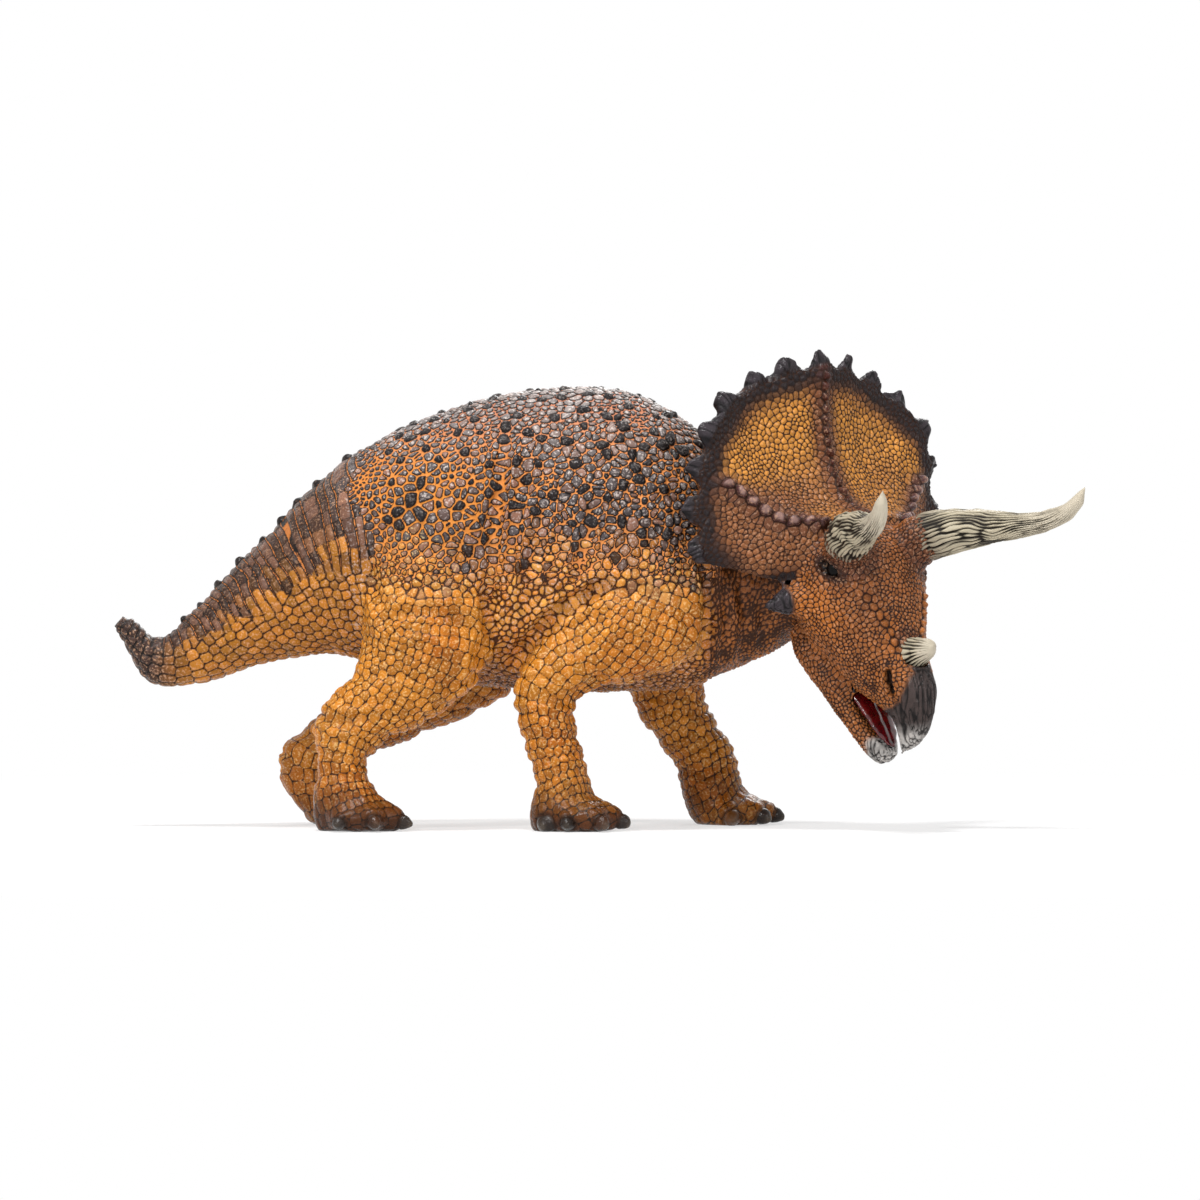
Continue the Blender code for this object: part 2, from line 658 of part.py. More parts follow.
def make_frill():
    """The dished neck shield, as a thickened sheet."""
    bm = bmesh.new()
    grid = []
    for hand, row in frill_rows():
        grid.append([bm.verts.new(frill_point(hand, row, step / FRILL_RADIAL_STEPS))
                     for step in range(FRILL_RADIAL_STEPS + 1)])
    for first, second in zip(grid, grid[1:]):
        for step in range(FRILL_RADIAL_STEPS):
            bm.faces.new((first[step], second[step], second[step + 1], first[step + 1]))
    frill = new_object("frill", bm)
    if frill.data.polygons[0].normal.dot(HEAD.to_3x3() @ Vector((1, 0, 1))) < 0:
        frill.data.flip_normals()
    shell = frill.modifiers.new("shell", "SOLIDIFY")
    shell.thickness = FRILL_THICKNESS
    shell.offset = -1
    shell.use_even_offset = True
    frill.data = evaluated_mesh(frill)
    frill.modifiers.clear()
    return frill


def rim_walk():
    """Rim points of one half, from the top down, with their distances along the rim."""
    points = [(frill_point(-1, row, 1), frill_point(-1, row, 0)) for row in reversed(FRILL_shares)]
    distances = [0.0]
    for (rim, _), (after, _) in zip(points, points[1:]):
        distances.append(distances[-1] + (after - rim).length)
    return points, distances


def rim_frame(distance):
    """Rim point, outward direction and direction along the rim, on the right half."""
    points, distances = rim_walk()
    index = 0
    while index < len(points) - 2 and distances[index + 1] < distance:
        index += 1
    share = (distance - distances[index]) / (distances[index + 1] - distances[index])
    rim = points[index][0].lerp(points[index + 1][0], share)
    root = points[index][1].lerp(points[index + 1][1], share)
    along = (points[index + 1][0] - points[index][0]).normalized()
    outward = rim - root
    outward = (outward - along * outward.dot(along)).normalized()
    return rim, outward, along


def mirror_in_head(vector, is_point):
    """Mirror a point or direction across the head's midplane."""
    inverse = HEAD.inverted()
    flip = Matrix.Diagonal((1, -1, 1, 1))
    if is_point:
        return HEAD @ (flip @ (inverse @ vector))
    turn = HEAD.to_3x3()
    return turn @ (flip.to_3x3() @ (turn.inverted() @ vector))


def make_frill_spike(name, distance, hand):
    """One of the blunt spikes along the frill's rim."""
    rim, outward, along = rim_frame(distance)
    if hand > 0:
        rim = mirror_in_head(rim, True)
        outward = mirror_in_head(outward, False)
        along = mirror_in_head(along, False)
    face = outward.cross(along).normalized()
    if face.dot(HEAD.to_3x3() @ Vector((1, 0, 1))) < 0:
        face = -face
    outward = (outward + face * FRILL_SPIKE_FLARE_share).normalized()
    face = (face - outward * face.dot(outward)).normalized()
    centre = rim - face * FRILL_THICKNESS / 2
    half_deep = FRILL_THICKNESS * FRILL_SPIKE_DEPTH_share
    rings = []
    for height, wide in FRILL_SPIKE_shares:
        middle = centre + outward * height * FRILL_SPIKE_HEIGHT
        rings.append(ring(middle, along * wide * FRILL_SPIKE_WIDTH / 2, face * wide * half_deep, SPIKE_SIDES))
    return loft(name, rings, end_tip=centre + outward * FRILL_SPIKE_HEIGHT, is_cutter=True)


def add_frill_spikes(frill):
    """Join the spikes to the frill's rim, one at the top and the rest in pairs."""
    _, distances = rim_walk()
    pitch = distances[-1] / (FRILL_SPIKES_PER_SIDE + 0.5)
    boolean(frill, make_frill_spike("frill_spike_top", 0.0, -1), "UNION")
    for index in range(1, FRILL_SPIKES_PER_SIDE + 1):
        for hand, side_name in ((-1, "right"), (1, "left")):
            spike = make_frill_spike(f"frill_spike_{side_name}_{index}", index * pitch, hand)
            boolean(frill, spike, "UNION")


def make_leg(name, rows, hand):
    """One leg from its plug inside the trunk down to the sole."""
    rings = []
    for front_x, front_z, rear_x, rear_z, sideways, width in rows:
        middle_y = hand * sideways * TRUNK_WIDTH
        front = place(front_x, front_z, middle_y)
        rear = place(rear_x, rear_z, middle_y)
        side = Vector((0, width * TRUNK_WIDTH, 0))
        rings.append(ring((front + rear) / 2, (front - rear) / 2, side, LEG_SIDES))
    top = (sum(rings[0], Vector()) - sum(rings[1], Vector())) / LEG_SIDES
    plug_tip = sum(rings[0], Vector()) / LEG_SIDES + top.normalized() * rows[0][5] * TRUNK_WIDTH / 2
    return loft(name, rings, start_tip=plug_tip)


def make_toe(name, centre, angle, size):
    """One toe with its claw, reaching out from the middle of the foot."""
    reach_out = size * TOE_REACH
    ahead = Vector((math.cos(angle), math.sin(angle), 0))
    side = Vector((-ahead.y, ahead.x, 0))
    up = Vector((0, 0, 1))
    centres = [centre + ahead * reach * reach_out + up * height * reach_out
               for reach, height, _ in TOE_shares]
    tip = centre + ahead * TOE_TIP_shares[0] * reach_out + up * TOE_TIP_shares[1] * reach_out
    rings = []
    for index, (_, _, thick) in enumerate(TOE_shares):
        before = centres[max(index - 1, 0)]
        after = centres[index + 1] if index + 1 < len(centres) else tip
        run = (after - before).normalized()
        radius = thick * size * TOE_RADIUS
        rings.append(ring(centres[index], run.cross(side) * radius, side * radius, TOE_SIDES))
    return loft(name, rings, end_tip=tip, is_cutter=True)


def finish_foot(leg, rows, hand, toes, floor):
    """Join the toes to a leg and cut its sole flat."""
    front_x, _, rear_x, _, sideways, _ = rows[-1]
    centre = place((front_x + rear_x) / 2, 0, hand * sideways * TRUNK_WIDTH)
    for index, (degrees, size) in enumerate(toes):
        toe = make_toe(f"{leg.name}_toe_{index + 1}", centre, math.radians(degrees), size)
        boolean(leg, toe, "UNION")
    boolean(leg, floor, "DIFFERENCE")


def make_floor_cutter():
    """A slab under the ground plane that trims every sole flat."""
    bm = bmesh.new()
    length = 2 * (TRUNK_LENGTH + TAIL_LENGTH)
    size = Matrix.Diagonal((length, 2 * TRUNK_WIDTH, FLOOR_CUT_DEPTH, 1))
    bmesh.ops.create_cube(bm, size=1, matrix=Matrix.Translation((0, 0, -FLOOR_CUT_DEPTH / 2)) @ size)
    return new_object("ground", bm, is_cutter=True)


def build_body():
    """Trunk, tail, neck and the four legs with their plugs and pockets."""
    trunk = make_trunk()
    tail = make_tail()
    neck = make_neck()
    forward = Vector((1, 0, 0))
    tail_seat = place(0, (TAIL_shares[0][1] + TAIL_shares[0][3]) / 2)
    peg_and_socket(tail, trunk, tail_seat, forward, TAIL_PEG_RADIUS, TAIL_PEG_LENGTH)
    neck_seat = place(1, NECK_shares[0][1])
    peg_and_socket(neck, trunk, neck_seat, -forward, NECK_PEG_RADIUS, NECK_PEG_LENGTH)
    floor = make_floor_cutter()
    legs = (
        ("right_hind_leg", HIND_RIGHT_shares, -1, HIND_RIGHT_TOE_DEGREES, HIND_RIGHT_TOE_shares),
        ("left_hind_leg", HIND_LEFT_shares, 1, HIND_LEFT_TOE_DEGREES, HIND_LEFT_TOE_shares),
        ("right_fore_leg", FORE_RIGHT_shares, -1, FORE_RIGHT_TOE_DEGREES, FORE_RIGHT_TOE_shares),
        ("left_fore_leg", FORE_LEFT_shares, 1, FORE_LEFT_TOE_DEGREES, FORE_LEFT_TOE_shares),
    )
    for name, rows, hand, toe_degrees, toe_sizes in legs:
        leg = make_leg(name, rows, hand)
        boolean(trunk, grown_copy(leg), "DIFFERENCE")
        finish_foot(leg, rows, hand, zip(toe_degrees, toe_sizes), floor)
        paint(leg, SKIN_OCHRE)
    paint(trunk, SKIN_BROWN)
    paint(tail, SKIN_OCHRE)
    paint(neck, HEAD_BROWN)
    return neck


def build_head(neck):
    """Skull, jaw, frill, horns, eyes and the mouth insert."""
    skull = head_loft("head", SKULL_shares, HEAD_NOSE_CAP_share)
    jaw = head_loft("lower_jaw", JAW_shares, HEAD_NOSE_CAP_share)
    frill = make_frill()
    insert = make_mouth_insert()
    boolean(jaw, grown_copy(skull), "DIFFERENCE")
    for hand, side_name in ((-1, "right"), (1, "left")):
        boss = head_ball("brow_boss_" + side_name, BROW_BOSS_PLACE_shares, hand, BROW_BOSS_RADIUS, True)
        boolean(skull, boss, "UNION")
        boolean(skull, make_cheek_horn("cheek_horn_" + side_name, hand), "UNION")
    boolean(skull, grown_copy(frill, FRILL_CLEARANCE), "DIFFERENCE")
    boolean(skull, grown_copy(insert), "DIFFERENCE")
    boolean(jaw, grown_copy(insert), "DIFFERENCE")
    for hand, side_name in ((-1, "right"), (1, "left")):
        horn = make_brow_horn(side_name + "_brow_horn", hand)
        eye = head_ball(side_name + "_eye", EYE_PLACE_shares, hand, EYE_RADIUS, False)
        boolean(skull, grown_copy(horn), "DIFFERENCE")
        boolean(skull, grown_copy(eye), "DIFFERENCE")
        paint(horn, HORN_IVORY)
        paint(eye, EYE_BLACK)
    nose = make_nose_horn()
    boolean(skull, grown_copy(nose), "DIFFERENCE")
    add_frill_spikes(frill)
    seam_centre, seam_turn = neck_frame(NECK_shares[-1][0], NECK_shares[-1][1], 1)
    ahead = seam_turn @ Vector((1, 0, 0))
    peg_and_socket(neck, skull, seam_centre, ahead, SKULL_PEG_RADIUS, SKULL_PEG_LENGTH)
    peg_seat = in_head(JAW_PEG_PLACE_shares[0], 0, JAW_PEG_PLACE_shares[1])
    head_up = HEAD.to_3x3() @ Vector((0, 0, 1))
    peg_and_socket(jaw, skull, peg_seat, head_up, JAW_PEG_RADIUS, JAW_PEG_LENGTH)
    paint(skull, HEAD_BROWN)
    paint(jaw, HEAD_BROWN)
    paint(frill, FRILL_ORANGE)
    paint(insert, MOUTH_RED)
    paint(nose, HORN_IVORY)


def centre_on_floor():
    """Move the root so that the figure's box stands centred on the origin."""
    graph = bpy.context.evaluated_depsgraph_get()
    corners = []
    for obj in FIGURE.objects:
        if obj.type == "MESH":
            solid = obj.evaluated_get(graph)
            corners += [solid.matrix_world @ Vector(corner) for corner in solid.bound_box]
    low = Vector(min(corner[axis] for corner in corners) for axis in range(3))
    high = Vector(max(corner[axis] for corner in corners) for axis in range(3))
    ROOT.location = -Vector(((low.x + high.x) / 2, (low.y + high.y) / 2, low.z))


clear_scene()
FIGURE = new_collection("toy_dinosaur_figure")
CUTTERS = new_collection("cutters")
ROOT = bpy.data.objects.new("figure_root", None)
FIGURE.objects.link(ROOT)
HEAD = head_matrix()
build_head(build_body())
centre_on_floor()
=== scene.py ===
"""Looks of a toy horned dinosaur figure in painted soft plastic, walking with its head turned.

The skins of the body and of the head are each one surface, fused over the solids that carry
them, sculpted with folds, scales and studs, painted point by point and then parted again at
the seams between the mouldings. Horns, eyes and the mouth floor are pieces of their own.
X runs forward, Y to the animal's left and Z up. All sizes are in metres.
"""
import math

import bmesh
import bpy
import numpy as np
from mathutils import Matrix, Vector
from mathutils.bvhtree import BVHTree
from mathutils.kdtree import KDTree


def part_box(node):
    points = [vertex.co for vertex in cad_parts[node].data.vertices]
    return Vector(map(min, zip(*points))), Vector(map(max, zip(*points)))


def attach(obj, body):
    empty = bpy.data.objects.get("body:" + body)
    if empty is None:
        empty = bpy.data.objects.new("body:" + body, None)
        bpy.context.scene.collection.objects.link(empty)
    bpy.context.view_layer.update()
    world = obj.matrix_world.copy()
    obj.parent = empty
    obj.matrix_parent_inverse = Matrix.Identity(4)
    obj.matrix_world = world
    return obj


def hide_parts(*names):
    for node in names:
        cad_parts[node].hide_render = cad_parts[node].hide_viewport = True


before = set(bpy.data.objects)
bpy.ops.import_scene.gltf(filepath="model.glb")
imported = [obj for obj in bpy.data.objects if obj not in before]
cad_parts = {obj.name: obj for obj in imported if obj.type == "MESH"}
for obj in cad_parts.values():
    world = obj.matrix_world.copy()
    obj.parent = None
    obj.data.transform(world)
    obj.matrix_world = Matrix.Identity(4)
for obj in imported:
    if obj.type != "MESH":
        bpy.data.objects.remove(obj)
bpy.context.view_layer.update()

# How the photograph was taken: where its middle pixel looks, and its scale there
PHOTO_MIDDLE = 600
PIXELS_PER_METRE = 5600
VIEW_TARGET = Vector((0.0009, 0, 0.0412))
CAMERA_DISTANCE = 3.0
CAMERA_ELEVATION = math.radians(1.35)
FIELD_WIDTH = 0.21429
SENSOR_WIDTH = 36

# The head's own frame, in which its tables are written
HEAD_YAW = math.radians(-50)
HEAD_PITCH = math.radians(36)
SKULL_LENGTH = 0.0300
EYE_FORWARD_share = 0.015
EYE_UP_share = -0.215

# Skins: how far the solids are grown so that their glue gaps close, and the grain of the surface
GROWTH = 0.0003
BODY_VOXEL = 0.00062
HEAD_VOXEL = 0.00042
HORN_VOXEL = 0.00028

BODY_NODES = ("torso", "tail", "neck", "right_hind_leg", "left_hind_leg", "right_fore_leg", "left_fore_leg")
HEAD_NODES = ("head", "frill", "lower_jaw")
LEG_NODES = BODY_NODES[3:]


def srgb(red, green, blue):
    """A screen colour as linear red, green and blue."""
    values = np.array((red, green, blue)) / 255
    return np.where(values < 0.04045, values / 12.92, ((values + 0.055) / 1.055) ** 2.4)


# Body paint: tops of the scales, the dark rings round them and the net between them
BACK_CHARCOAL = srgb(76, 68, 68)
BACK_ROSE = srgb(156, 110, 88)
BACK_GREY_AND_SHEEN = srgb(160, 150, 146)
BACK_RING = srgb(14, 9, 7)
BACK_NET = srgb(222, 140, 74)
HIP_NET = srgb(206, 128, 48)
SPINE_NET = srgb(196, 130, 102)
FLANK_TOP = srgb(206, 126, 42)
FLANK_PALE = srgb(220, 154, 70)
FLANK_RING = srgb(66, 32, 4)
LEG_TOP = srgb(190, 120, 36)
LEG_ORANGE = srgb(166, 90, 18)
LEG_RING = srgb(48, 23, 3)
FOOT_TOP = srgb(80, 44, 20)
FOOT_RING = srgb(20, 9, 3)
# Painted shade for scales that face downwards
UNDERSIDE_SHADE = srgb(132, 80, 36)
TAIL_DARK = srgb(56, 38, 30)
TAIL_NET = srgb(186, 112, 54)
TAIL_YELLOW = srgb(160, 104, 32)
TAIL_TIP = srgb(66, 48, 42)
NECK_TOP = srgb(132, 76, 38)
NECK_ORANGE = srgb(158, 94, 42)
NECK_RING = srgb(54, 28, 10)
STUD_BLACK = srgb(26, 22, 24)
CLAW_GREY = srgb(48, 40, 36)
CLAW_PALE = srgb(140, 128, 112)

# Head paint
FRILL_GOLD = srgb(202, 136, 56)
FRILL_BROWN = srgb(132, 82, 48)
FRILL_RING = srgb(44, 20, 6)
RIDGE_RED = srgb(66, 33, 27)
ROW_PURPLE = srgb(72, 46, 46)
KNOB_HIGHLIGHT = srgb(168, 134, 124)
RIM_DARK = srgb(36, 28, 29)
SPIKE_GREY = srgb(54, 48, 52)
SPIKE_RING = srgb(10, 7, 9)
FACE_BROWN = srgb(142, 84, 42)
FACE_ORANGE = srgb(178, 104, 38)
FACE_PURPLE = srgb(84, 50, 38)
FACE_RING = srgb(38, 16, 5)
BEAK_GREY = srgb(64, 54, 52)
BEAK_PALE = srgb(176, 172, 168)
BEAK_RING = srgb(16, 12, 12)
NOSTRIL_BLACK = srgb(12, 6, 4)


def read(items, field, width, kind):
    """One field of every item of a mesh, as an array."""
    values = np.empty(len(items) * width, kind)
    items.foreach_get(field, values)
    return values.reshape(-1, width) if width > 1 else values


def unit(vectors):
    """Vectors cut to length one."""
    return vectors / np.maximum(np.linalg.norm(vectors, axis=-1, keepdims=True), 1e-12)


def ramp(values, low, high):
    """A soft step from 0 at low to 1 at high."""
    t = np.clip((values - low) / (high - low), 0, 1)
    return t * t * (3 - 2 * t)


def bump(distance, width):
    """A round hill that is 1 at no distance and gone past twice the width."""
    return np.exp(-(distance / width) ** 2)


def mixed(first, second, amount):
    """Colours or points between two others, one amount for each row."""
    return first + (second - first) * np.asarray(amount)[..., None]


def fuzz(points, size, seed=0):
    """Smooth noise from -1 to 1 with features of the given size."""
    scaled = np.asarray(points, float) / size + seed * 7.31
    base = np.floor(scaled).astype(np.int64)
    part = scaled - base
    part = part * part * (3 - 2 * part)
    total = np.zeros(len(scaled))
    for corner in range(8):
        step = np.array((corner & 1, corner >> 1 & 1, corner >> 2 & 1))
        spot = base + step
        code = spot[:, 0] * 73856093 ^ spot[:, 1] * 19349663 ^ spot[:, 2] * 83492791 ^ (seed + 1) * 2654435
        code = (code ^ code >> 13) * 1274126177 & 0x7FFFFFFF
        weight = np.prod(np.where(step, part, 1 - part), axis=1)
        total += weight * (code % 65536 / 32768 - 1)
    return total


def path_distance(points, path):
    """Distance of each point from a broken line, with how far along the line its foot lies."""
    best = np.full(len(points), np.inf)
    along = np.zeros(len(points))
    run = 0.0
    for start, end in zip(path, path[1:]):
        axis = end - start
        length = np.linalg.norm(axis)
        t = np.clip((points - start) @ axis / length ** 2, 0, 1)
        distance = np.linalg.norm(points - start - t[:, None] * axis, axis=1)
        nearer = distance < best
        best = np.where(nearer, distance, best)
        along = np.where(nearer, run + t * length, along)
        run += length
    return best, along


def photo_place(pixel):
    """World x and z that a pixel of the photograph shows, on the plane through the origin."""
    return np.array((
        VIEW_TARGET.x + (pixel[0] - PHOTO_MIDDLE) / PIXELS_PER_METRE,
        VIEW_TARGET.z - (pixel[1] - PHOTO_MIDDLE) / PIXELS_PER_METRE,
    ))


class Skin:
    """A closed surface of quads, as arrays."""

    def __init__(self, mesh):
        self.points = read(mesh.vertices, "co", 3, np.float32).astype(float)
        self.edges = read(mesh.edges, "vertices", 2, np.int32)
        self.quads = read(mesh.loops, "vertex_index", 1, np.int32).reshape(-1, 4)
        self.degree = np.bincount(self.edges.ravel(), minlength=len(self.points))

    def normals(self):
        """Outward direction at each point."""
        a, b, c, d = (self.points[self.quads[:, corner]] for corner in range(4))
        faces = np.repeat(np.cross(c - a, d - b), 4, axis=0)
        corners = self.quads.ravel()
        total = [np.bincount(corners, faces[:, axis], len(self.points)) for axis in range(3)]
        return unit(np.stack(total, axis=1))

    def mean(self, values):
        """Mean of the neighbours' values at each point."""
        flat = values.reshape(len(values), -1)
        first, second = self.edges.T
        total = np.empty_like(flat)
        for column in range(flat.shape[1]):
            total[:, column] = np.bincount(first, flat[second, column], len(flat))
            total[:, column] += np.bincount(second, flat[first, column], len(flat))
        return (total / self.degree[:, None]).reshape(values.shape)

    def smooth(self, values, rounds, strength=0.5):
        """Values spread over the surface."""
        for _ in range(rounds):
            values = values + strength * (self.mean(values) - values)
        return values


def build_mesh(name, points, starts, corners):
    """A mesh from arrays of points, face starts and corner indices."""
    mesh = bpy.data.meshes.new(name)
    mesh.vertices.add(len(points))
    mesh.vertices.foreach_set("co", np.asarray(points, np.float32).ravel())
    mesh.loops.add(len(corners))
    mesh.loops.foreach_set("vertex_index", np.asarray(corners, np.int32))
    mesh.polygons.add(len(starts))
    mesh.polygons.foreach_set("loop_start", np.asarray(starts, np.int32))
    mesh.update(calc_edges=True)
    mesh.shade_smooth()
    return mesh


def add_numbers(mesh, name, values):
    """Store one number for each point of a mesh."""
    mesh.attributes.new(name, "FLOAT", "POINT").data.foreach_set("value", np.asarray(values, np.float32))


def add_colours(mesh, name, colours):
    """Store one colour for each point of a mesh."""
    rgba = np.ones((len(colours), 4), np.float32)
    rgba[:, :3] = np.clip(colours, 0, 1)
    mesh.attributes.new(name, "FLOAT_COLOR", "POINT").data.foreach_set("color", rgba.ravel())


def shown_mesh(mesh, kind, **settings):
    """The mesh with one modifier applied."""
    obj = bpy.data.objects.new("work", mesh)
    bpy.context.scene.collection.objects.link(obj)
    modifier = obj.modifiers.new("work", kind)
    for field, value in settings.items():
        setattr(modifier, field, value)
    graph = bpy.context.evaluated_depsgraph_get()
    result = bpy.data.meshes.new_from_object(obj.evaluated_get(graph))
    bpy.data.objects.remove(obj)
    return result


def grown_solid(node, growth, keep_below=None):
    """A copy of a solid that stands off its surface by the growth, cut short if asked."""
    bm = bmesh.new()
    bm.from_mesh(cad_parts[node].data)
    bmesh.ops.remove_doubles(bm, verts=bm.verts, dist=1e-6)
    bmesh.ops.recalc_face_normals(bm, faces=bm.faces)
    if keep_below is not None:
        place, normal = keep_below
        geometry = bm.verts[:] + bm.edges[:] + bm.faces[:]
        cut = bmesh.ops.bisect_plane(bm, geom=geometry, plane_co=place, plane_no=normal, clear_outer=True)
        rim = [item for item in cut["geom_cut"] if isinstance(item, bmesh.types.BMEdge)]
        bmesh.ops.contextual_create(bm, geom=rim)
        bmesh.ops.recalc_face_normals(bm, faces=bm.faces)
    bm.normal_update()
    shifts = [vert.normal * growth * min(vert.calc_shell_factor(), 2) for vert in bm.verts]
    for vert, shift in zip(bm.verts, shifts):
        vert.co += shift
    return bm


def connected(count, links):
    """The lowest member of the group that each item is linked into."""
    group = np.arange(count)
    first, second = links.T
    while True:
        low = np.minimum(group[first], group[second])
        new = group.copy()
        np.minimum.at(new, group[first], low)
        np.minimum.at(new, group[second], low)
        new = new[new]
        if np.array_equal(new, group):
            return group
        group = new


def largest_part(skin):
    """Which points belong to the largest connected surface."""
    group = connected(len(skin.points), skin.edges)
    names, counts = np.unique(group, return_counts=True)
    return group == names[np.argmax(counts)]


def fused_skin(solids, voxel):
    """One closed surface over several solids."""
    mesh = bpy.data.meshes.new("work")
    joined = bmesh.new()
    for bm in solids:
        bm.to_mesh(mesh)
        bm.free()
        joined.from_mesh(mesh)
    joined.to_mesh(mesh)
    joined.free()
    skin = Skin(shown_mesh(mesh, "REMESH", mode="VOXEL", voxel_size=voxel))
    kept = largest_part(skin)
    if kept.all():
        return skin
    number = np.cumsum(kept) - 1
    quads = number[skin.quads[kept[skin.quads[:, 0]]]]
    clean = build_mesh("work", skin.points[kept], np.arange(len(quads)) * 4, quads.ravel())
    return Skin(clean)


def rounded_off(skin, rounds):
    """Smooth away the solids' facets and the voxel steps, and take the growth off again."""
    start = skin.points
    soft = skin.smooth(start, rounds)
    skin.points = soft + skin.smooth(start - soft, rounds)
    skin.points = skin.points - skin.normals() * GROWTH


def node_weights(skin, nodes, aliases):
    """How far each point belongs to each node, spread over the seams."""
    bm = bmesh.new()
    owners = []
    for node in list(nodes) + list(aliases):
        bm.from_mesh(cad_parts[node].data)
        owner = nodes.index(aliases.get(node, node))
        owners += [owner] * (len(bm.faces) - len(owners))
    bm.faces.ensure_lookup_table()
    tree = BVHTree.FromBMesh(bm)
    nearest = np.array([owners[tree.find_nearest(Vector(point))[2]] for point in skin.points])
    bm.free()
    weights = np.eye(len(nodes))[nearest]
    return skin.smooth(weights, 14)


def subdivided(skin, fields):
    """The surface with four quads for each one, and point fields carried over."""
    mesh = build_mesh("work", skin.points, np.arange(len(skin.quads)) * 4, skin.quads.ravel())
    for name, values in fields.items():
        add_numbers(mesh, name, values)
    fine_mesh = shown_mesh(mesh, "SUBSURF", levels=1, render_levels=1)
    fine = Skin(fine_mesh)
    carried = {name: read(fine_mesh.attributes[name].data, "value", 1, np.float32) for name in fields}
    return fine, carried


def limb_axis(node, direction, pitch):
    """Middle line of a limb: centres of slices square to a direction."""
    heights = [vert.co.dot(direction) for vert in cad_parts[node].data.vertices]
    low = min(heights)
    high = max(heights)
    centres = []
    count = int((high - low) / pitch)
    for step in range(count):
        level = low + (high - low) * (step + 0.5) / count
        bm = bmesh.new()
        bm.from_mesh(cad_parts[node].data)
        cut = bmesh.ops.bisect_plane(bm, geom=bm.verts[:] + bm.edges[:] + bm.faces[:],
                                     plane_co=direction * level, plane_no=direction)
        rim = [item for item in cut["geom_cut"] if isinstance(item, bmesh.types.BMEdge)]
        lengths = [edge.calc_length() for edge in rim]
        middle = sum(((edge.verts[0].co + edge.verts[1].co) / 2 * length
                      for edge, length in zip(rim, lengths)), Vector())
        if sum(lengths):
            centres.append(np.array(middle / sum(lengths)))
        bm.free()
    centres = np.array(centres)
    for _ in range(3):
        centres[1:-1] = (centres[:-2] + 2 * centres[1:-1] + centres[2:]) / 4
    return centres


def limb_places(points, axis, side):
    """Distance along a limb, angle round it and distance from its middle line."""
    reach = LIMB_OVERRUN
    start = axis[0] - unit(axis[1] - axis[0]) * reach
    end = axis[-1] + unit(axis[-1] - axis[-2]) * reach
    path = np.vstack((start, axis, end))
    distance, along = path_distance(points, path)
    steps = np.linalg.norm(np.diff(path, axis=0), axis=1)
    runs = np.concatenate(((0,), np.cumsum(steps)))
    foot = np.stack([np.interp(along, runs, path[:, k]) for k in range(3)], axis=1)
    tangents = unit(np.gradient(path, axis=0))
    tangent = unit(np.stack([np.interp(along, runs, tangents[:, k]) for k in range(3)], axis=1))
    away = points - foot
    across = unit(np.cross(tangent, side))
    beside = np.cross(across, tangent)
    angle = np.arctan2(np.einsum("ij,ij->i", away, beside), np.einsum("ij,ij->i", away, across))
    return along - reach, angle, distance


LIMB_OVERRUN = 0.006


def row_place(points, along, pitch, seed):
    """Which wavy row round a limb each point lies in, a whole number on the groove between two."""
    return along / pitch + 0.42 * fuzz(points, 0.006, seed) + 0.10 * fuzz(points, 0.0022, seed + 3)


def lattice_seeds(points, along, angle, radius, pitch, width, inside, seed):
    """Seeds of squarish scales in rows round a limb."""
    row = np.floor(row_place(points, along, pitch, seed)).astype(int)
    rows, inverse = np.unique(row, return_inverse=True)
    total = np.bincount(inverse, radius * inside, len(rows))
    count = np.bincount(inverse, inside.astype(float), len(rows))
    mean_radius = total / np.maximum(count, 1)
    columns = np.maximum(np.round(math.tau * mean_radius / width), 4)[inverse]
    shift = (rows * 0.37 % 1)[inverse] + 0.22 * fuzz(points, 0.004, seed + 5)
    column = np.floor((angle / math.tau + 0.5) * columns + shift).astype(int) % columns.astype(int)
    cell = inverse * 1000 + column
    cell = cell[inside]
    chosen = points[inside]
    names, order, sizes = np.unique(cell, return_inverse=True, return_counts=True)
    middles = np.stack([np.bincount(order, chosen[:, k], len(names)) for k in range(3)], axis=1)
    middles /= sizes[:, None]
    return middles[sizes >= max(4, np.median(sizes) * 0.3)]


def nearest(points, seeds):
    """Index of the nearest seed for each point."""
    tree = KDTree(len(seeds))
    for index, place in enumerate(seeds):
        tree.insert(place, index)
    tree.balance()
    return np.fromiter((tree.find(place)[1] for place in points), np.int64, len(points))


def spread_seeds(points, spacing, chance, rounds, random):
    """Seeds that lie about a spacing apart on the surface, evened out over a few rounds."""
    area = BODY_VOXEL ** 2 * chance
    odds = area / (0.80 * spacing ** 2)
    chosen = random.random(len(points)) < odds
    seeds = points[chosen]
    for _ in range(rounds):
        owner = nearest(points, seeds)
        weight = 1 / spacing ** 2
        total = np.bincount(owner, weight, len(seeds))
        used = total > 0
        middles = np.stack([np.bincount(owner, points[:, k] * weight, len(seeds)) for k in range(3)], axis=1)
        seeds = middles[used] / total[used, None]
    return seeds


def thinned(seeds, others, gap):
    """Seeds that keep a gap to all the others."""
    if not len(others):
        return seeds
    tree = KDTree(len(others))
    for index, place in enumerate(others):
        tree.insert(place, index)
    tree.balance()
    far = np.array([tree.find(place)[2] for place in seeds])
    return seeds[far > gap]


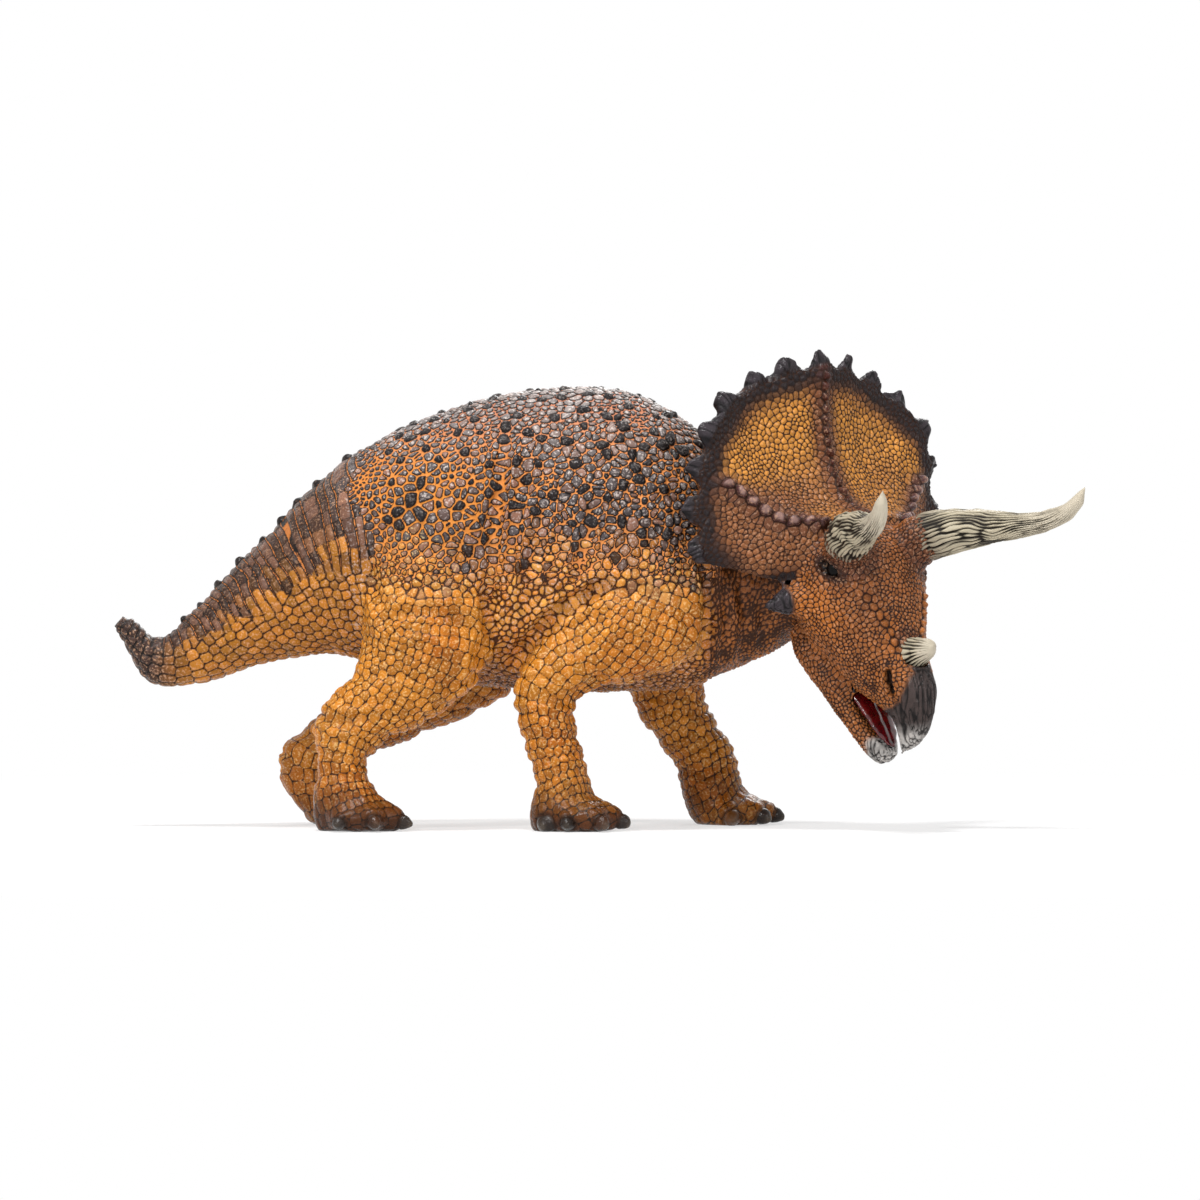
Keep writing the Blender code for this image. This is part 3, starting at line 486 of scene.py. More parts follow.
def cells(points, seeds, stretch, roundness):
    """For each point its seed, the distance from that seed and the distance to the cell's edge.

    The stretch makes cells narrower along X by that factor, and the roundness rounds their corners.
    """
    scale = np.stack((stretch, np.ones_like(stretch), np.ones_like(stretch)), axis=1)
    tree = KDTree(len(seeds))
    for index, place in enumerate(seeds):
        tree.insert(place, index)
    tree.balance()
    hits = (hit[1] for place in points for hit in tree.find_n(place, NEIGHBOURS))
    found = np.fromiter(hits, np.int64, len(points) * NEIGHBOURS).reshape(-1, NEIGHBOURS)
    home = seeds[found[:, 0]]
    from_home = points - home
    reach = np.linalg.norm(from_home / scale, axis=1)
    total = np.zeros(len(points))
    for other in range(1, NEIGHBOURS):
        link = seeds[found[:, other]] - home
        length = np.linalg.norm(link, axis=1)
        gap = ((points - seeds[found[:, other]]) ** 2).sum(1) - (from_home ** 2).sum(1)
        gap = gap / (2 * length) / np.linalg.norm(link / length[:, None] * scale, axis=1)
        total += np.exp(-gap / roundness)
    return found[:, 0], reach, np.maximum(-roundness * np.log(total), 0)


NEIGHBOURS = 5


def cell_means(home, count, values):
    """Mean of a field over each cell, given at every point of the cell."""
    sizes = np.maximum(np.bincount(home, minlength=count), 1)
    return (np.bincount(home, values, count) / sizes)[home]


def head_axes():
    """The head's origin and its forward, left and up directions, from the two eyes."""
    centres = [sum(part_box(side + "_eye"), Vector()) / 2 for side in ("right", "left")]
    left = np.array((-math.sin(HEAD_YAW), math.cos(HEAD_YAW), 0))
    level = np.array((math.cos(HEAD_YAW), math.sin(HEAD_YAW), 0))
    forward = level * math.cos(HEAD_PITCH) - np.array((0, 0, math.sin(HEAD_PITCH)))
    up = np.cross(forward, left)
    middle = np.array((centres[0] + centres[1]) / 2)
    origin = middle - (forward * EYE_FORWARD_share + up * EYE_UP_share) * SKULL_LENGTH
    return origin, np.stack((forward, left, up))


HEAD_ORIGIN, HEAD_TURN = head_axes()


def in_head(points):
    """World points as forward, left and up distances in the head's frame."""
    return (points - HEAD_ORIGIN) @ HEAD_TURN.T


def folded(local):
    """Head places with both sides laid on one."""
    return local * (1, 0, 1) + np.abs(local) * (0, 1, 0)


def camera_place():
    """Where the camera stands."""
    away = Vector((0, -math.cos(CAMERA_ELEVATION), math.sin(CAMERA_ELEVATION)))
    return VIEW_TARGET + away * CAMERA_DISTANCE


def pixel_caster(skin):
    """A function that finds the point of a skin that a pixel of the photograph shows."""
    tree = BVHTree.FromPolygons([tuple(point) for point in skin.points], skin.quads.tolist())
    eye = camera_place()

    def cast(pixel):
        x, z = photo_place(pixel)
        goal = Vector((x, 0, VIEW_TARGET.z + (z - VIEW_TARGET.z) / math.cos(CAMERA_ELEVATION)))
        hit = tree.ray_cast(eye, (goal - eye).normalized())[0]
        if hit is None:
            hit = tree.find_nearest(goal)[0]
        return np.array(hit)

    return cast


# Body folds, by pixels of the photograph: points along each one, its depth and its width
FOLD_DEPTH = 0.0011
FOLD_WIDTH = 0.0011
CREASE_WIDTH = 0.0007
FLANK_FOLDS = (
    (((505, 430), (500, 480), (494, 540), (490, 600), (488, 640)), 1.0),
    (((524, 460), (516, 510), (507, 560), (500, 605)), 0.7),
    (((470, 500), (476, 545), (482, 580), (488, 620)), 0.5),
    (((545, 500), (536, 545), (524, 590), (520, 625)), 0.4),
    (((596, 500), (586, 545), (574, 580), (560, 604)), 0.8),
    (((612, 520), (598, 552), (586, 578)), 0.6),
    (((632, 530), (612, 556), (598, 578)), 0.4),
)
LEG_FOLDS = (
    (((385, 622), (402, 614), (430, 611), (452, 616), (470, 630)), 1.1),
    (((392, 634), (415, 625), (440, 626), (460, 640)), 0.8),
    (((365, 560), (372, 590), (384, 616)), 0.8),
    (((478, 640), (482, 660), (476, 684)), 0.7),
    (((514, 664), (528, 642), (552, 618), (580, 596), (608, 582)), 1.2),
    (((565, 610), (600, 592), (640, 590), (668, 600)), 0.6),
    (((560, 700), (585, 694), (604, 676)), 0.7),
    (((520, 688), (550, 696), (580, 690)), 0.4),
    (((322, 712), (345, 722), (366, 718)), 0.5),
)
NECK_FOLDS = (
    (((706, 560), (711, 600), (708, 650)), 1.4),
    (((722, 585), (728, 625), (724, 655)), 0.8),
    (((742, 592), (748, 630), (744, 655)), 0.7),
    (((760, 600), (765, 630), (762, 650)), 0.5),
)


def carve_folds(points, normals, folds, middle, sides):
    """How far a set of folds moves each point along its normal, and how near its crease it is."""
    lift = np.zeros(len(points))
    crease = np.zeros(len(points))
    flat = points * (1, 0, 1)
    for side in sides:
        faces = ramp(normals[:, 1] * side, 0.05, 0.5) * (((points[:, 1] - middle) * side) > 0)
        for pixels, strength in folds:
            path = [np.array((x, 0, z)) for x, z in map(photo_place, pixels)]
            distance, along = path_distance(flat, path)
            length = along.max()
            ends = ramp(along, -0.1 * length, 0.2 * length) * (1 - ramp(along, 0.8 * length, 1.1 * length))
            valley = bump(distance, FOLD_WIDTH) - 0.45 * bump(distance - 2 * FOLD_WIDTH, FOLD_WIDTH)
            lift -= FOLD_DEPTH * strength * faces * (0.3 + 0.7 * ends) * valley
            crease = np.maximum(crease, strength * faces * ends * bump(distance, CREASE_WIDTH))
    return lift, crease


def toe_tips(node, count):
    """Tips of a foot's toes: the points near the ground that stand out furthest."""
    points = read(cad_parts[node].data.vertices, "co", 3, np.float32).astype(float)
    low = points[(points[:, 2] < TOE_TIP_HEIGHT) & (points[:, 2] > TOE_TIP_HEIGHT / 12)]
    sole = points[points[:, 2] < TOE_TIP_HEIGHT / 12]
    centre = (sole.min(0) + sole.max(0)) / 2
    order = np.argsort(-np.linalg.norm((low - centre)[:, :2], axis=1))
    tips = []
    for place in low[order]:
        if all(np.linalg.norm(place - tip) > TOE_GAP for tip in tips):
            tips.append(place)
        if len(tips) == count:
            break
    return tips


TOE_TIP_HEIGHT = 0.0024
TOE_GAP = 0.0040
CLAW_REACH = 0.0026
CLAW_POINT = 0.0007
CLAW_GROOVE = 0.0002

# Scale sizes on the body
PEBBLE_SPACING = 0.00180
HIP_SPACING_GAIN = 0.0005
CREASE_SPACING_LOSS = 0.0003
NECK_SPACING = 0.0015
NECK_START = 0.0205
NECK_STRETCH = 1.7
TAIL_START = 0.0440
TAIL_LOW_LEAD = 0.0075
TAIL_LEAD_HEIGHTS = (0.064, 0.044)
LEG_ROW = 0.0017
LEG_COLUMN = 0.0019
TAIL_RING = 0.00165
TAIL_RING_WIDTH = 0.0030
RIDGE_BREAK = 0.00018
RING_SEED = 11
TAIL_ROW = 0.0018
TAIL_COLUMN = 0.0021
TILE_TOP = 0.043
HIP_PLACE = (-0.030, 0.059)
HIP_REACH = 0.013
STUD_SPACING = 0.0060
STUD_FLOOR = 0.042
STUD_GAP = 0.0018
STUD_RISE = 0.00030
CREST_RISE = 0.00035
PEBBLE_ROUNDNESS = 0.00011
TILE_ROUNDNESS = 0.00007
SCALE_DEPTH = 0.00056
SCALE_CURVE = 0.00040
TILE_DEPTH_share = 0.68
NET_HALF = 0.00010
HIP_NET_GAIN = 0.00008
TAIL_NET_HALF = 0.00012
CREASE_NET_GAIN = 0.00010
NECK_EDGE_share = 1.5
LEG_EDGE_share = 1.2
# Share of the pale flecks, partly dry-brushed paint and partly painted glints, that the studs keep
STUD_DRYBRUSH_AND_GLINT_share = 0.25
NO_EDGE = 0.002

TAIL_CREST = ((182, 622), (198, 607), (218, 587), (239, 564), (261, 541), (280, 523), (297, 505),
              (316, 487), (346, 460))
# Heights of the wrinkles round every leg
LEG_WRINKLES = (0.0098, 0.0126, 0.0165, 0.0205, 0.0228, 0.0272)


def sculpt_body():
    """The fused body skin with its folds, scales and paint."""
    random = np.random.default_rng(4)
    solids = [grown_solid(node, GROWTH) for node in BODY_NODES + ("head", "lower_jaw")]
    skin = fused_skin(solids, BODY_VOXEL)
    rounded_off(skin, 34)
    weights = node_weights(skin, BODY_NODES + ("head",), {"lower_jaw": "head"})
    torso_lo, torso_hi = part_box("torso")
    middle = (torso_lo.y + torso_hi.y) / 2
    normals = skin.normals()
    flank_lift, crease = carve_folds(skin.points, normals, FLANK_FOLDS, middle, (-1, 1))
    neck_lift, _ = carve_folds(skin.points, normals, NECK_FOLDS, middle, (-1, 1))
    leg_lift, _ = carve_folds(skin.points, normals, LEG_FOLDS, middle, (-1,))
    lift = flank_lift + neck_lift + leg_lift
    level = skin.points[:, 2] + 0.0018 * fuzz(skin.points, 0.006, 6)
    legs = weights[:, 3:7].sum(1)
    for height in LEG_WRINKLES:
        lift -= 0.00055 * legs * bump(level - height, 0.0006)
    lift += 0.00035 * fuzz(skin.points, 0.006, 3) + 0.0002 * fuzz(skin.points, 0.003, 4)
    skin.points = skin.points + normals * lift[:, None]
    fields = {f"weight_{index}": weights[:, index] for index in range(weights.shape[1])}
    fields["crease"] = crease
    fine, carried = subdivided(skin, fields)
    crease = carried.pop("crease")
    weights = np.stack(list(carried.values()), axis=1)
    points = fine.points
    normals = fine.smooth(fine.normals(), 2)
    tail_axis = limb_axis("tail", Vector((1, 0, 0)), 0.004)
    tail_places = limb_places(points, tail_axis, np.array((0, 1.0, 0)))
    order = np.argsort(tail_axis[:, 0])
    tail_level = np.interp(points[:, 0], tail_axis[order, 0], tail_axis[order, 2])
    over = (points[:, 2] - tail_level) / np.maximum(tail_places[2], 1e-5)

    # Seeds of the scales
    x, y, z = points.T
    warp = np.where(x > NECK_START, NECK_STRETCH, 1.0)
    warp_x = x + np.maximum(x - NECK_START, 0) * (NECK_STRETCH - 1)
    warped = np.stack((warp_x, y, z), axis=1)
    warped = warped + 0.00013 * np.stack([fuzz(points, 0.0010, 20 + k) for k in range(3)], axis=1)
    lattice = []
    tiled = np.zeros(len(points), bool)
    for index, node in enumerate(LEG_NODES):
        axis = limb_axis(node, Vector((0, 0, 1)), 0.004)
        along, angle, radius = limb_places(points, axis, np.array((0, 1.0, 0)))
        inside = (weights[:, 3 + index] > 0.5) & (z < TILE_TOP + 0.002 * fuzz(points, 0.005, 30 + index))
        tiled |= inside
        lattice.append(lattice_seeds(warped, along, angle, radius, LEG_ROW, LEG_COLUMN, inside, index))
    behind = tail_reach(points) + 0.0025 * fuzz(points, 0.005, 34)
    on_tail = (weights[:, 0] + weights[:, 1] > 0.5) & (behind > TAIL_START)
    upper = on_tail & (over + 0.25 * fuzz(points, 0.004, 33) > -0.10)
    lattice.append(lattice_seeds(warped, *tail_places, TAIL_RING, TAIL_RING_WIDTH, upper, RING_SEED))
    lattice.append(lattice_seeds(warped, *tail_places, TAIL_ROW, TAIL_COLUMN, on_tail & ~upper, 12))
    tiled |= on_tail
    tiles = np.vstack(lattice)
    hip = bump(np.hypot(x - HIP_PLACE[0], z - HIP_PLACE[1]), HIP_REACH)
    spacing = PEBBLE_SPACING + HIP_SPACING_GAIN * hip - CREASE_SPACING_LOSS * np.minimum(crease, 1)
    spacing = np.where(weights[:, 2] > 0.5, NECK_SPACING, spacing)
    loose = (random.random(len(points)) < 0.25) & ~tiled
    pebbles = spread_seeds(warped[loose], spacing[loose], warp[loose], 10, random)
    studded = loose & (weights[:, 0] > 0.5) & (z > STUD_FLOOR) & (np.abs(x + 0.004) < 0.034)
    studs = spread_seeds(warped[studded], np.full(studded.sum(), STUD_SPACING), 1.0, 3, random)
    studs += 0.0020 * (random.random(studs.shape) - 0.5)
    studs = studs[random.random(len(studs)) < ramp(studs[:, 2], 0.038, 0.056)]
    crest = crest_seeds(fine, middle)
    pebbles = thinned(pebbles, tiles, 0.0010)
    for others in (studs, crest):
        pebbles = thinned(pebbles, others, STUD_GAP)
        tiles = thinned(tiles, others, STUD_GAP * 0.6)
    seeds = np.vstack((pebbles, tiles, studs, crest))
    kinds = np.repeat((0, 1, 2, 3), (len(pebbles), len(tiles), len(studs), len(crest)))
    roundness = np.where(tiled, TILE_ROUNDNESS, PEBBLE_ROUNDNESS)
    home, reach, edge = cells(warped, seeds, warp, roundness)
    picks = random.random((len(seeds), 3))
    kind = kinds[home]
    turns = row_place(warped, tail_places[0], TAIL_RING, RING_SEED)
    ridge_edge = TAIL_RING * (0.5 - np.abs(turns % 1 - 0.5))
    edge = np.where(upper & (kind == 1), np.minimum(edge + RIDGE_BREAK, ridge_edge), edge)

    # Relief
    claws, claw_paint, rim, point, tip_glow = np.zeros((5, len(points)))
    for node in LEG_NODES:
        for number, tip in enumerate(toe_tips(node, 4 if "hind" in node else 5)):
            distance = np.linalg.norm((points - tip) * (1, 1, 0.9), axis=1)
            claw = 1 - ramp(distance, CLAW_REACH * 0.93, CLAW_REACH * 1.03)
            claws = np.maximum(claws, claw)
            claw_paint = np.maximum(claw_paint, claw * (1 - 0.5 * (number % 2)))
            rim = np.maximum(rim, bump(distance - CLAW_REACH * 1.05, 0.0004))
            point = np.maximum(point, 1 - distance / CLAW_REACH)
            tip_glow = np.maximum(tip_glow, 1 - ramp(distance, 0.0004, 0.0016))
    body = 1 - claws
    stud = kind >= 2
    net = NET_HALF * ramp(z, 0.040, 0.050) * (1 - ramp(weights[:, 2], 0.1, 0.5)) + HIP_NET_GAIN * hip
    net = np.where(on_tail, TAIL_NET_HALF * ramp(over, -0.25, 0.25), net * ~tiled)
    net += CREASE_NET_GAIN * crease * ramp(z, 0.036, 0.044)
    rise = 1 - np.exp(-np.maximum(edge - 0.6 * net, 0) / SCALE_CURVE)
    lift = -SCALE_DEPTH * (1 - rise) * np.where(tiled, TILE_DEPTH_share, 1) * (0.5 + 0.5 * ramp(z, 0.003, 0.012))
    lift += np.where(stud, STUD_RISE * ramp(edge, 0, 0.0006), 0) * (0.6 + 0.8 * picks[home, 0])
    lift += np.where(kind == 3, CREST_RISE * (1 - ramp(reach, 0.0002, 0.0012)), 0)
    lift = lift * body + CLAW_POINT * point - CLAW_GROOVE * rim
    lift += 0.00006 * fuzz(points, 0.0007, 11)
    fine.points = points + normals * lift[:, None]
    fine.points[:, 2] = np.maximum(fine.points[:, 2], 0)

    paints, drybrush_and_glint = paint_body(points, normals, weights, over, home, picks)
    top, ring, bare = paints
    top = mixed(top, STUD_BLACK, np.where(stud, 0.85 + 0.15 * picks[home, 1], 0))
    top = mixed(top, CLAW_GREY, claw_paint)
    top = mixed(top, CLAW_PALE, tip_glow * claws * 0.25)
    ring = mixed(ring, CLAW_GREY * 0.4, claws)
    # The studs keep only a share of the pale flecks, which are partly dry-brushed paint and partly painted glints
    drybrush_and_glint = drybrush_and_glint * body * np.where(stud, STUD_DRYBRUSH_AND_GLINT_share, 1)
    edge = edge * np.where(weights[:, 2] > 0.5, NECK_EDGE_share, np.where(tiled & ~on_tail, LEG_EDGE_share, 1))
    numbers = {"edge": np.where(claws > 0.5, NO_EDGE, edge) * 1000, "net": net * 1000, "groove": rim * 0.8,
               "tone": picks[home, 2], "gloss": np.maximum(claws, stud * 1.0), "drybrush_and_glint": drybrush_and_glint}
    return fine, weights[:, :7], weights[:, 7], {"top": top, "ring": ring, "net": bare}, numbers


def tail_reach(points):
    """How far back each point lies, and more for points low down, where the ridged skin comes further forward."""
    return -points[:, 0] + TAIL_LOW_LEAD * ramp(points[:, 2], *TAIL_LEAD_HEIGHTS)


def legs_of(weights):
    """How far each point of the body belongs to any leg."""
    return weights[:, 3:7].sum(1)


def crest_seeds(skin, middle):
    """Knobs along the tail's top edge, on the surface over each pixel of the crest."""
    tree = BVHTree.FromPolygons([tuple(point) for point in skin.points], skin.quads.tolist())
    seeds = []
    for pixel in TAIL_CREST:
        x, z = photo_place(pixel)
        seeds.append(tuple(tree.find_nearest(Vector((x, middle, z)))[0]))
    return np.array(seeds)


def paint_body(points, normals, weights, over, home, picks):
    """Paint of the scale tops, of the rings round them and of the net between them.

    Each scale has one colour, so that dark and orange scales mix where the back meets the flank.
    """
    x, y, z = points.T
    drift = fuzz(points, 0.011, 40)
    fleck = fuzz(points, 0.004, 41)
    first, second, _ = picks[home].T

    def whole(values):
        return cell_means(home, len(picks), values)

    height = whole(z + 0.003 * drift)
    dark = ramp(height + 0.009 * (first - 0.5), 0.043, 0.051)
    # The top of the back is painted paler grey: partly grey paint, partly a painted sheen
    grey = ramp(height, 0.060, 0.080)
    rose = ramp(second + 0.35 * (1 - ramp(height, 0.046, 0.062)), 0.55, 1.0) * 0.8
    back = mixed(mixed(BACK_CHARCOAL, BACK_ROSE, rose), BACK_GREY_AND_SHEEN, grey * 0.75)
    flank = mixed(FLANK_TOP, FLANK_PALE, second)
    top = mixed(flank, back, dark)
    smooth_dark = ramp(z + 0.003 * drift, 0.040, 0.048)
    ring = mixed(FLANK_RING, BACK_RING, smooth_dark)
    hip = bump(np.hypot(x - HIP_PLACE[0], z - HIP_PLACE[1]), HIP_REACH * 1.3)
    net = mixed(mixed(BACK_NET, HIP_NET, hip), SPINE_NET, ramp(z, 0.062, 0.080))
    # Painted shade: scales that face downwards are painted a darker brown
    underside_shade = whole(ramp(-normals[:, 2], 0.45, 0.95) * (z > 0.012))
    top = mixed(top, UNDERSIDE_SHADE, underside_shade * 0.8)

    wash = whole(ramp(drift + 0.3 * fleck, -0.4, 0.9))
    leg_top = mixed(LEG_TOP, LEG_ORANGE, np.clip(wash * 0.8 + 0.5 * (first - 0.5), 0, 1))
    foot = 1 - ramp(whole(z + 0.0015 * fleck), 0.002, 0.012)
    foot *= np.where(y > 0.016, 0.6, 1.0)
    leg_top = mixed(leg_top, FOOT_TOP, foot)
    leg_ring = mixed(LEG_RING, FOOT_RING, foot)
    low = ramp(legs_of(weights), 0.3, 0.7) * (1 - ramp(height + 0.006 * (first - 0.5), 0.040, 0.046))
    top = mixed(top, leg_top, low)
    ring = mixed(ring, leg_ring, low)

    behind = whole(tail_reach(points) + 0.003 * drift) + 0.006 * (first - 0.5)
    tail = weights[:, :2].sum(1) * ramp(behind, TAIL_START - 0.004, TAIL_START + 0.006)
    upper = ramp(whole(over) + 0.7 * (first - 0.5), -0.15, 0.50)
    tail_top = mixed(mixed(TAIL_YELLOW, FLANK_TOP, second * 0.5), mixed(TAIL_DARK, BACK_ROSE, rose * 0.4), upper)
    tail_ring = mixed(LEG_RING, BACK_RING, upper)
    tip = 1 - ramp(x + 0.001 * fleck, -0.081, -0.071)
    top = mixed(top, mixed(tail_top, TAIL_TIP, tip), tail)
    ring = mixed(ring, mixed(tail_ring, BACK_RING, tip), tail)
    net = mixed(net, mixed(TAIL_NET, TAIL_TIP, tip), tail)

    neck = ramp(x + 0.0012 * fleck, 0.0185, 0.0225) * (1 - ramp(z, 0.056, 0.066))
    neck *= np.minimum(1, weights[:, 0] + weights[:, 2] + weights[:, 7])
    neck_top = mixed(NECK_TOP, NECK_ORANGE, (1 - ramp(z, 0.030, 0.046)) * 0.7 + 0.3 * second)
    top = mixed(top, neck_top, neck)
    ring = mixed(ring, NECK_RING, neck)
    # Pale flecks on the scale tops, partly dry-brushed paint and partly painted glints, with more of them towards the
    # top of the back
    drybrush_and_glint = 0.42 + 0.50 * ramp(z, 0.048, 0.078) - 0.30 * neck
    drybrush_and_glint = drybrush_and_glint * (1 - foot) * (1 - 0.5 * tail * upper)
    return (top, ring, net), drybrush_and_glint


# Head scales and relief
FRILL_SCALE = 0.00140
FACE_SCALE = 0.00130
MUZZLE_SCALE = 0.00110
HEAD_SCALE_DEPTH = 0.00034
HEAD_SCALE_CURVE = 0.00028
HEAD_ROUNDNESS = 0.00006
HEAD_EDGE_share = 1.45
KNOB_EDGE_share = 0.7
RIDGE = ((827, 375), (828, 415), (830, 455), (838, 480), (848, 500))
RIDGE_PITCH = 0.0019
RIDGE_HALF_WIDTH = 0.0013
RIDGE_RISE = 0.0006
BUMP_ROW = ((727, 483), (739, 491), (753, 501), (764, 510), (777, 518), (792, 521), (808, 521), (826, 524))
BUMP_ROW_PITCH = 0.0027
BUMP_ROW_WIDTH = 0.0013
BUMP_ROW_RISE = 0.0010
KNOB_RISE = 0.00065
NOSTRIL = ((887, 673), (888, 682), (891, 692))
NOSTRIL_WIDTH = 0.00045
NOSTRIL_DEPTH = 0.0016
CHEEK_PLATES = ((868, 598), (880, 615), (892, 632), (900, 650))
PLATE_PITCH = 0.0018
ROW_GAPS = (0.0019, 0.0013, 0.0013)
BEAK_EDGE = ((925, 662), (908, 668), (897, 700), (873, 716))
BEAK_TIP = (906, 756)
JAW_EDGE = (862, 742)
BEAK_BLEND = 0.0015


def sculpt_head():
    """The fused skin of the head, frill and jaw with relief and paint."""
    random = np.random.default_rng(9)
    solids = [grown_solid(node, GROWTH) for node in HEAD_NODES + ("neck", "right_eye", "left_eye")]
    for node in ("right_brow_horn", "left_brow_horn", "nose_horn"):
        root, direction, _ = horn_line(node)
        solids.append(grown_solid(node, GROWTH / 2, (root + direction * HORN_STUB, direction)))
    skin = fused_skin(solids, HEAD_VOXEL)
    nodes = HEAD_NODES + ("neck",)
    aliases = {"right_eye": "head", "left_eye": "head", "right_brow_horn": "head",
               "left_brow_horn": "head", "nose_horn": "head"}
    rounded_off(skin, 12)
    weights = node_weights(skin, nodes, aliases)
    cast = pixel_caster(skin)

    def head_place(pixel):
        return folded(in_head(cast(pixel)))

    inset, _ = frill_inset(skin.points, weights)
    rim = 1 - ramp(inset, RIM_WIDTH * 0.9, RIM_WIDTH * 1.3)
    skin.points = mixed(skin.points, skin.smooth(skin.points, RIM_SMOOTHING), rim)
    local = folded(in_head(skin.points))
    normals = skin.normals()
    on_frill = ramp(weights[:, 1], 0.3, 0.7)
    turned = normals @ HEAD_TURN.T
    facing = ramp(turned[:, 0] + turned[:, 2], -0.2, 0.3)
    lift = RIDGE_RISE * bump(local[:, 1], RIDGE_HALF_WIDTH) * on_frill * facing
    row_path = [head_place(pixel) for pixel in BUMP_ROW]
    row_distance, _ = path_distance(local, row_path)
    lift += BUMP_ROW_RISE * bump(row_distance, BUMP_ROW_WIDTH) * facing
    nostril_distance, _ = path_distance(local, [head_place(pixel) for pixel in NOSTRIL])
    nostril = bump(nostril_distance, NOSTRIL_WIDTH)
    lift += 0.0003 * bump(nostril_distance - 2.2 * NOSTRIL_WIDTH, NOSTRIL_WIDTH) - NOSTRIL_DEPTH * nostril
    eye = folded(in_head(np.array(sum(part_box("right_eye"), Vector()) / 2)))
    lift += carve_eye(local, eye)
    lift += 0.0002 * fuzz(skin.points, 0.004, 60) + 0.0006 * rim * fuzz(skin.points, 0.0016, 66)
    skin.points = skin.points + normals * lift[:, None]
    fields = {f"weight_{index}": weights[:, index] for index in range(weights.shape[1])}
    fields["row"] = bump(row_distance, BUMP_ROW_WIDTH * 1.2) * facing
    fields["facing"] = facing
    fields["nostril"] = nostril
    fine, carried = subdivided(skin, fields)
    weights = np.stack([carried[f"weight_{index}"] for index in range(len(nodes))], axis=1)
    points = fine.points
    normals = fine.smooth(fine.normals(), 2)
    local = folded(in_head(points))
    frill = ramp(weights[:, 1], 0.35, 0.65)

    inset, turn = frill_inset(points, weights)
    rim = 1 - ramp(inset, RIM_WIDTH * 0.8, RIM_WIDTH * 1.1)
    edge_path = np.array([head_place(pixel) for pixel in BEAK_EDGE])
    edge_path = edge_path[np.argsort(edge_path[:, 2])]
    start = np.interp(local[:, 2], edge_path[:, 2], edge_path[:, 0])
    start = np.where(weights[:, 2] > 0.5, head_place(JAW_EDGE)[0], start)
    beak = ramp(local[:, 0] - start + 0.0006 * fuzz(points, 0.002, 61), 0, BEAK_BLEND) * (1 - frill)
    cheek_horn = cheek_horn_amount(local)
    spacing = FACE_SCALE + (MUZZLE_SCALE - FACE_SCALE) * ramp(local[:, 0] / SKULL_LENGTH, 0.25, 0.45)
    spacing = np.where(frill > 0.5, FRILL_SCALE, spacing)
    warped = points + 0.00012 * np.stack([fuzz(points, 0.0008, 70 + k) for k in range(3)], axis=1)
    some = random.random(len(points)) < 0.3
    seeds = spread_seeds(warped[some], spacing[some], (HEAD_VOXEL / BODY_VOXEL) ** 2 / 1.2, 6, random)
    rows = [path_seeds(row_path, BUMP_ROW_PITCH, (1, -1)),
            path_seeds([head_place(pixel) for pixel in CHEEK_PLATES], PLATE_PITCH, (1, -1)),
            path_seeds([head_place(pixel) * (1, 0, 1) for pixel in RIDGE], RIDGE_PITCH, (1,))]
    for row, gap in zip(rows, ROW_GAPS):
        seeds = thinned(seeds, row, gap)
    kinds = np.repeat((0, 1, 2, 3), (len(seeds), *map(len, rows)))
    seeds = np.vstack((seeds, *rows))
    home, reach, edge = cells(warped, seeds, np.ones(len(points)), HEAD_ROUNDNESS)
    picks = random.random((len(seeds), 3))
    kind = kinds[home]
    smooth_part = np.maximum.reduce((beak, rim, cheek_horn, carried["nostril"]))
    scaly = 1 - smooth_part
    grain = streaks(points, local, inset, turn, rim)
    lift = -HEAD_SCALE_DEPTH * np.exp(-edge / HEAD_SCALE_CURVE) * scaly
    lift += np.where(kind > 0, KNOB_RISE * ramp(edge, 0, 0.0008), 0) * scaly
    lift -= 0.00022 * grain * smooth_part
    lift += 0.00003 * fuzz(points, 0.0005, 62)
    fine.points = points + normals * lift[:, None]
    marks = dict(carried, frill=frill, rim=rim, beak=beak, cheek_horn=cheek_horn, inset=inset)
    marks["beak_depth"] = beak_depth(local) - beak_depth(head_place(BEAK_TIP))
    marks["lids"] = eyelids(local - eye)
    paints = paint_head(points, local, eye, marks, home, picks)
    # Painted highlight: the middle of each knob in the frill's row is painted pale
    paints["top"] = mixed(paints["top"], KNOB_HIGHLIGHT, np.where(kind == 1, ramp(edge, 0.0004, 0.0009), 0) * 0.6)
    calm = np.where(frill > 0.5, ramp(inset, 0.006, 0.010), 1)
    edge = np.where(smooth_part > 0.5, NO_EDGE, edge * np.where(kind > 0, KNOB_EDGE_share, HEAD_EDGE_share))
    numbers = {"edge": edge * 1000, "net": np.zeros(len(points)),
               "groove": np.clip(grain * smooth_part, 0, 1), "tone": picks[home, 2],
               # Pale flecks on the head: partly dry-brushed paint, partly painted glints
               "gloss": np.maximum(beak, rim) * 0.6, "drybrush_and_glint": 0.30 * scaly * calm}
    return fine, weights[:, :3], weights[:, 3], paints, numbers


def path_seeds(path, pitch, sides):
    """Places along a line on the given sides of the head, in the world."""
    steps = np.linalg.norm(np.diff(np.array(path), axis=0), axis=1)
    runs = np.concatenate(((0,), np.cumsum(steps)))
    stops = np.linspace(0, runs[-1], max(int(runs[-1] / pitch), 2) + 1)
    local = np.stack([np.interp(stops, runs, np.array(path)[:, k]) for k in range(3)], axis=1)
    both = np.vstack([local * (1, side, 1) for side in sides])
    return HEAD_ORIGIN + both @ HEAD_TURN


EYE_SLIT_LENGTH = 0.0020
EYE_SLIT_HEIGHT = 0.0009
LID_RISE = 0.0006
SOCKET_DEPTH = 0.0006


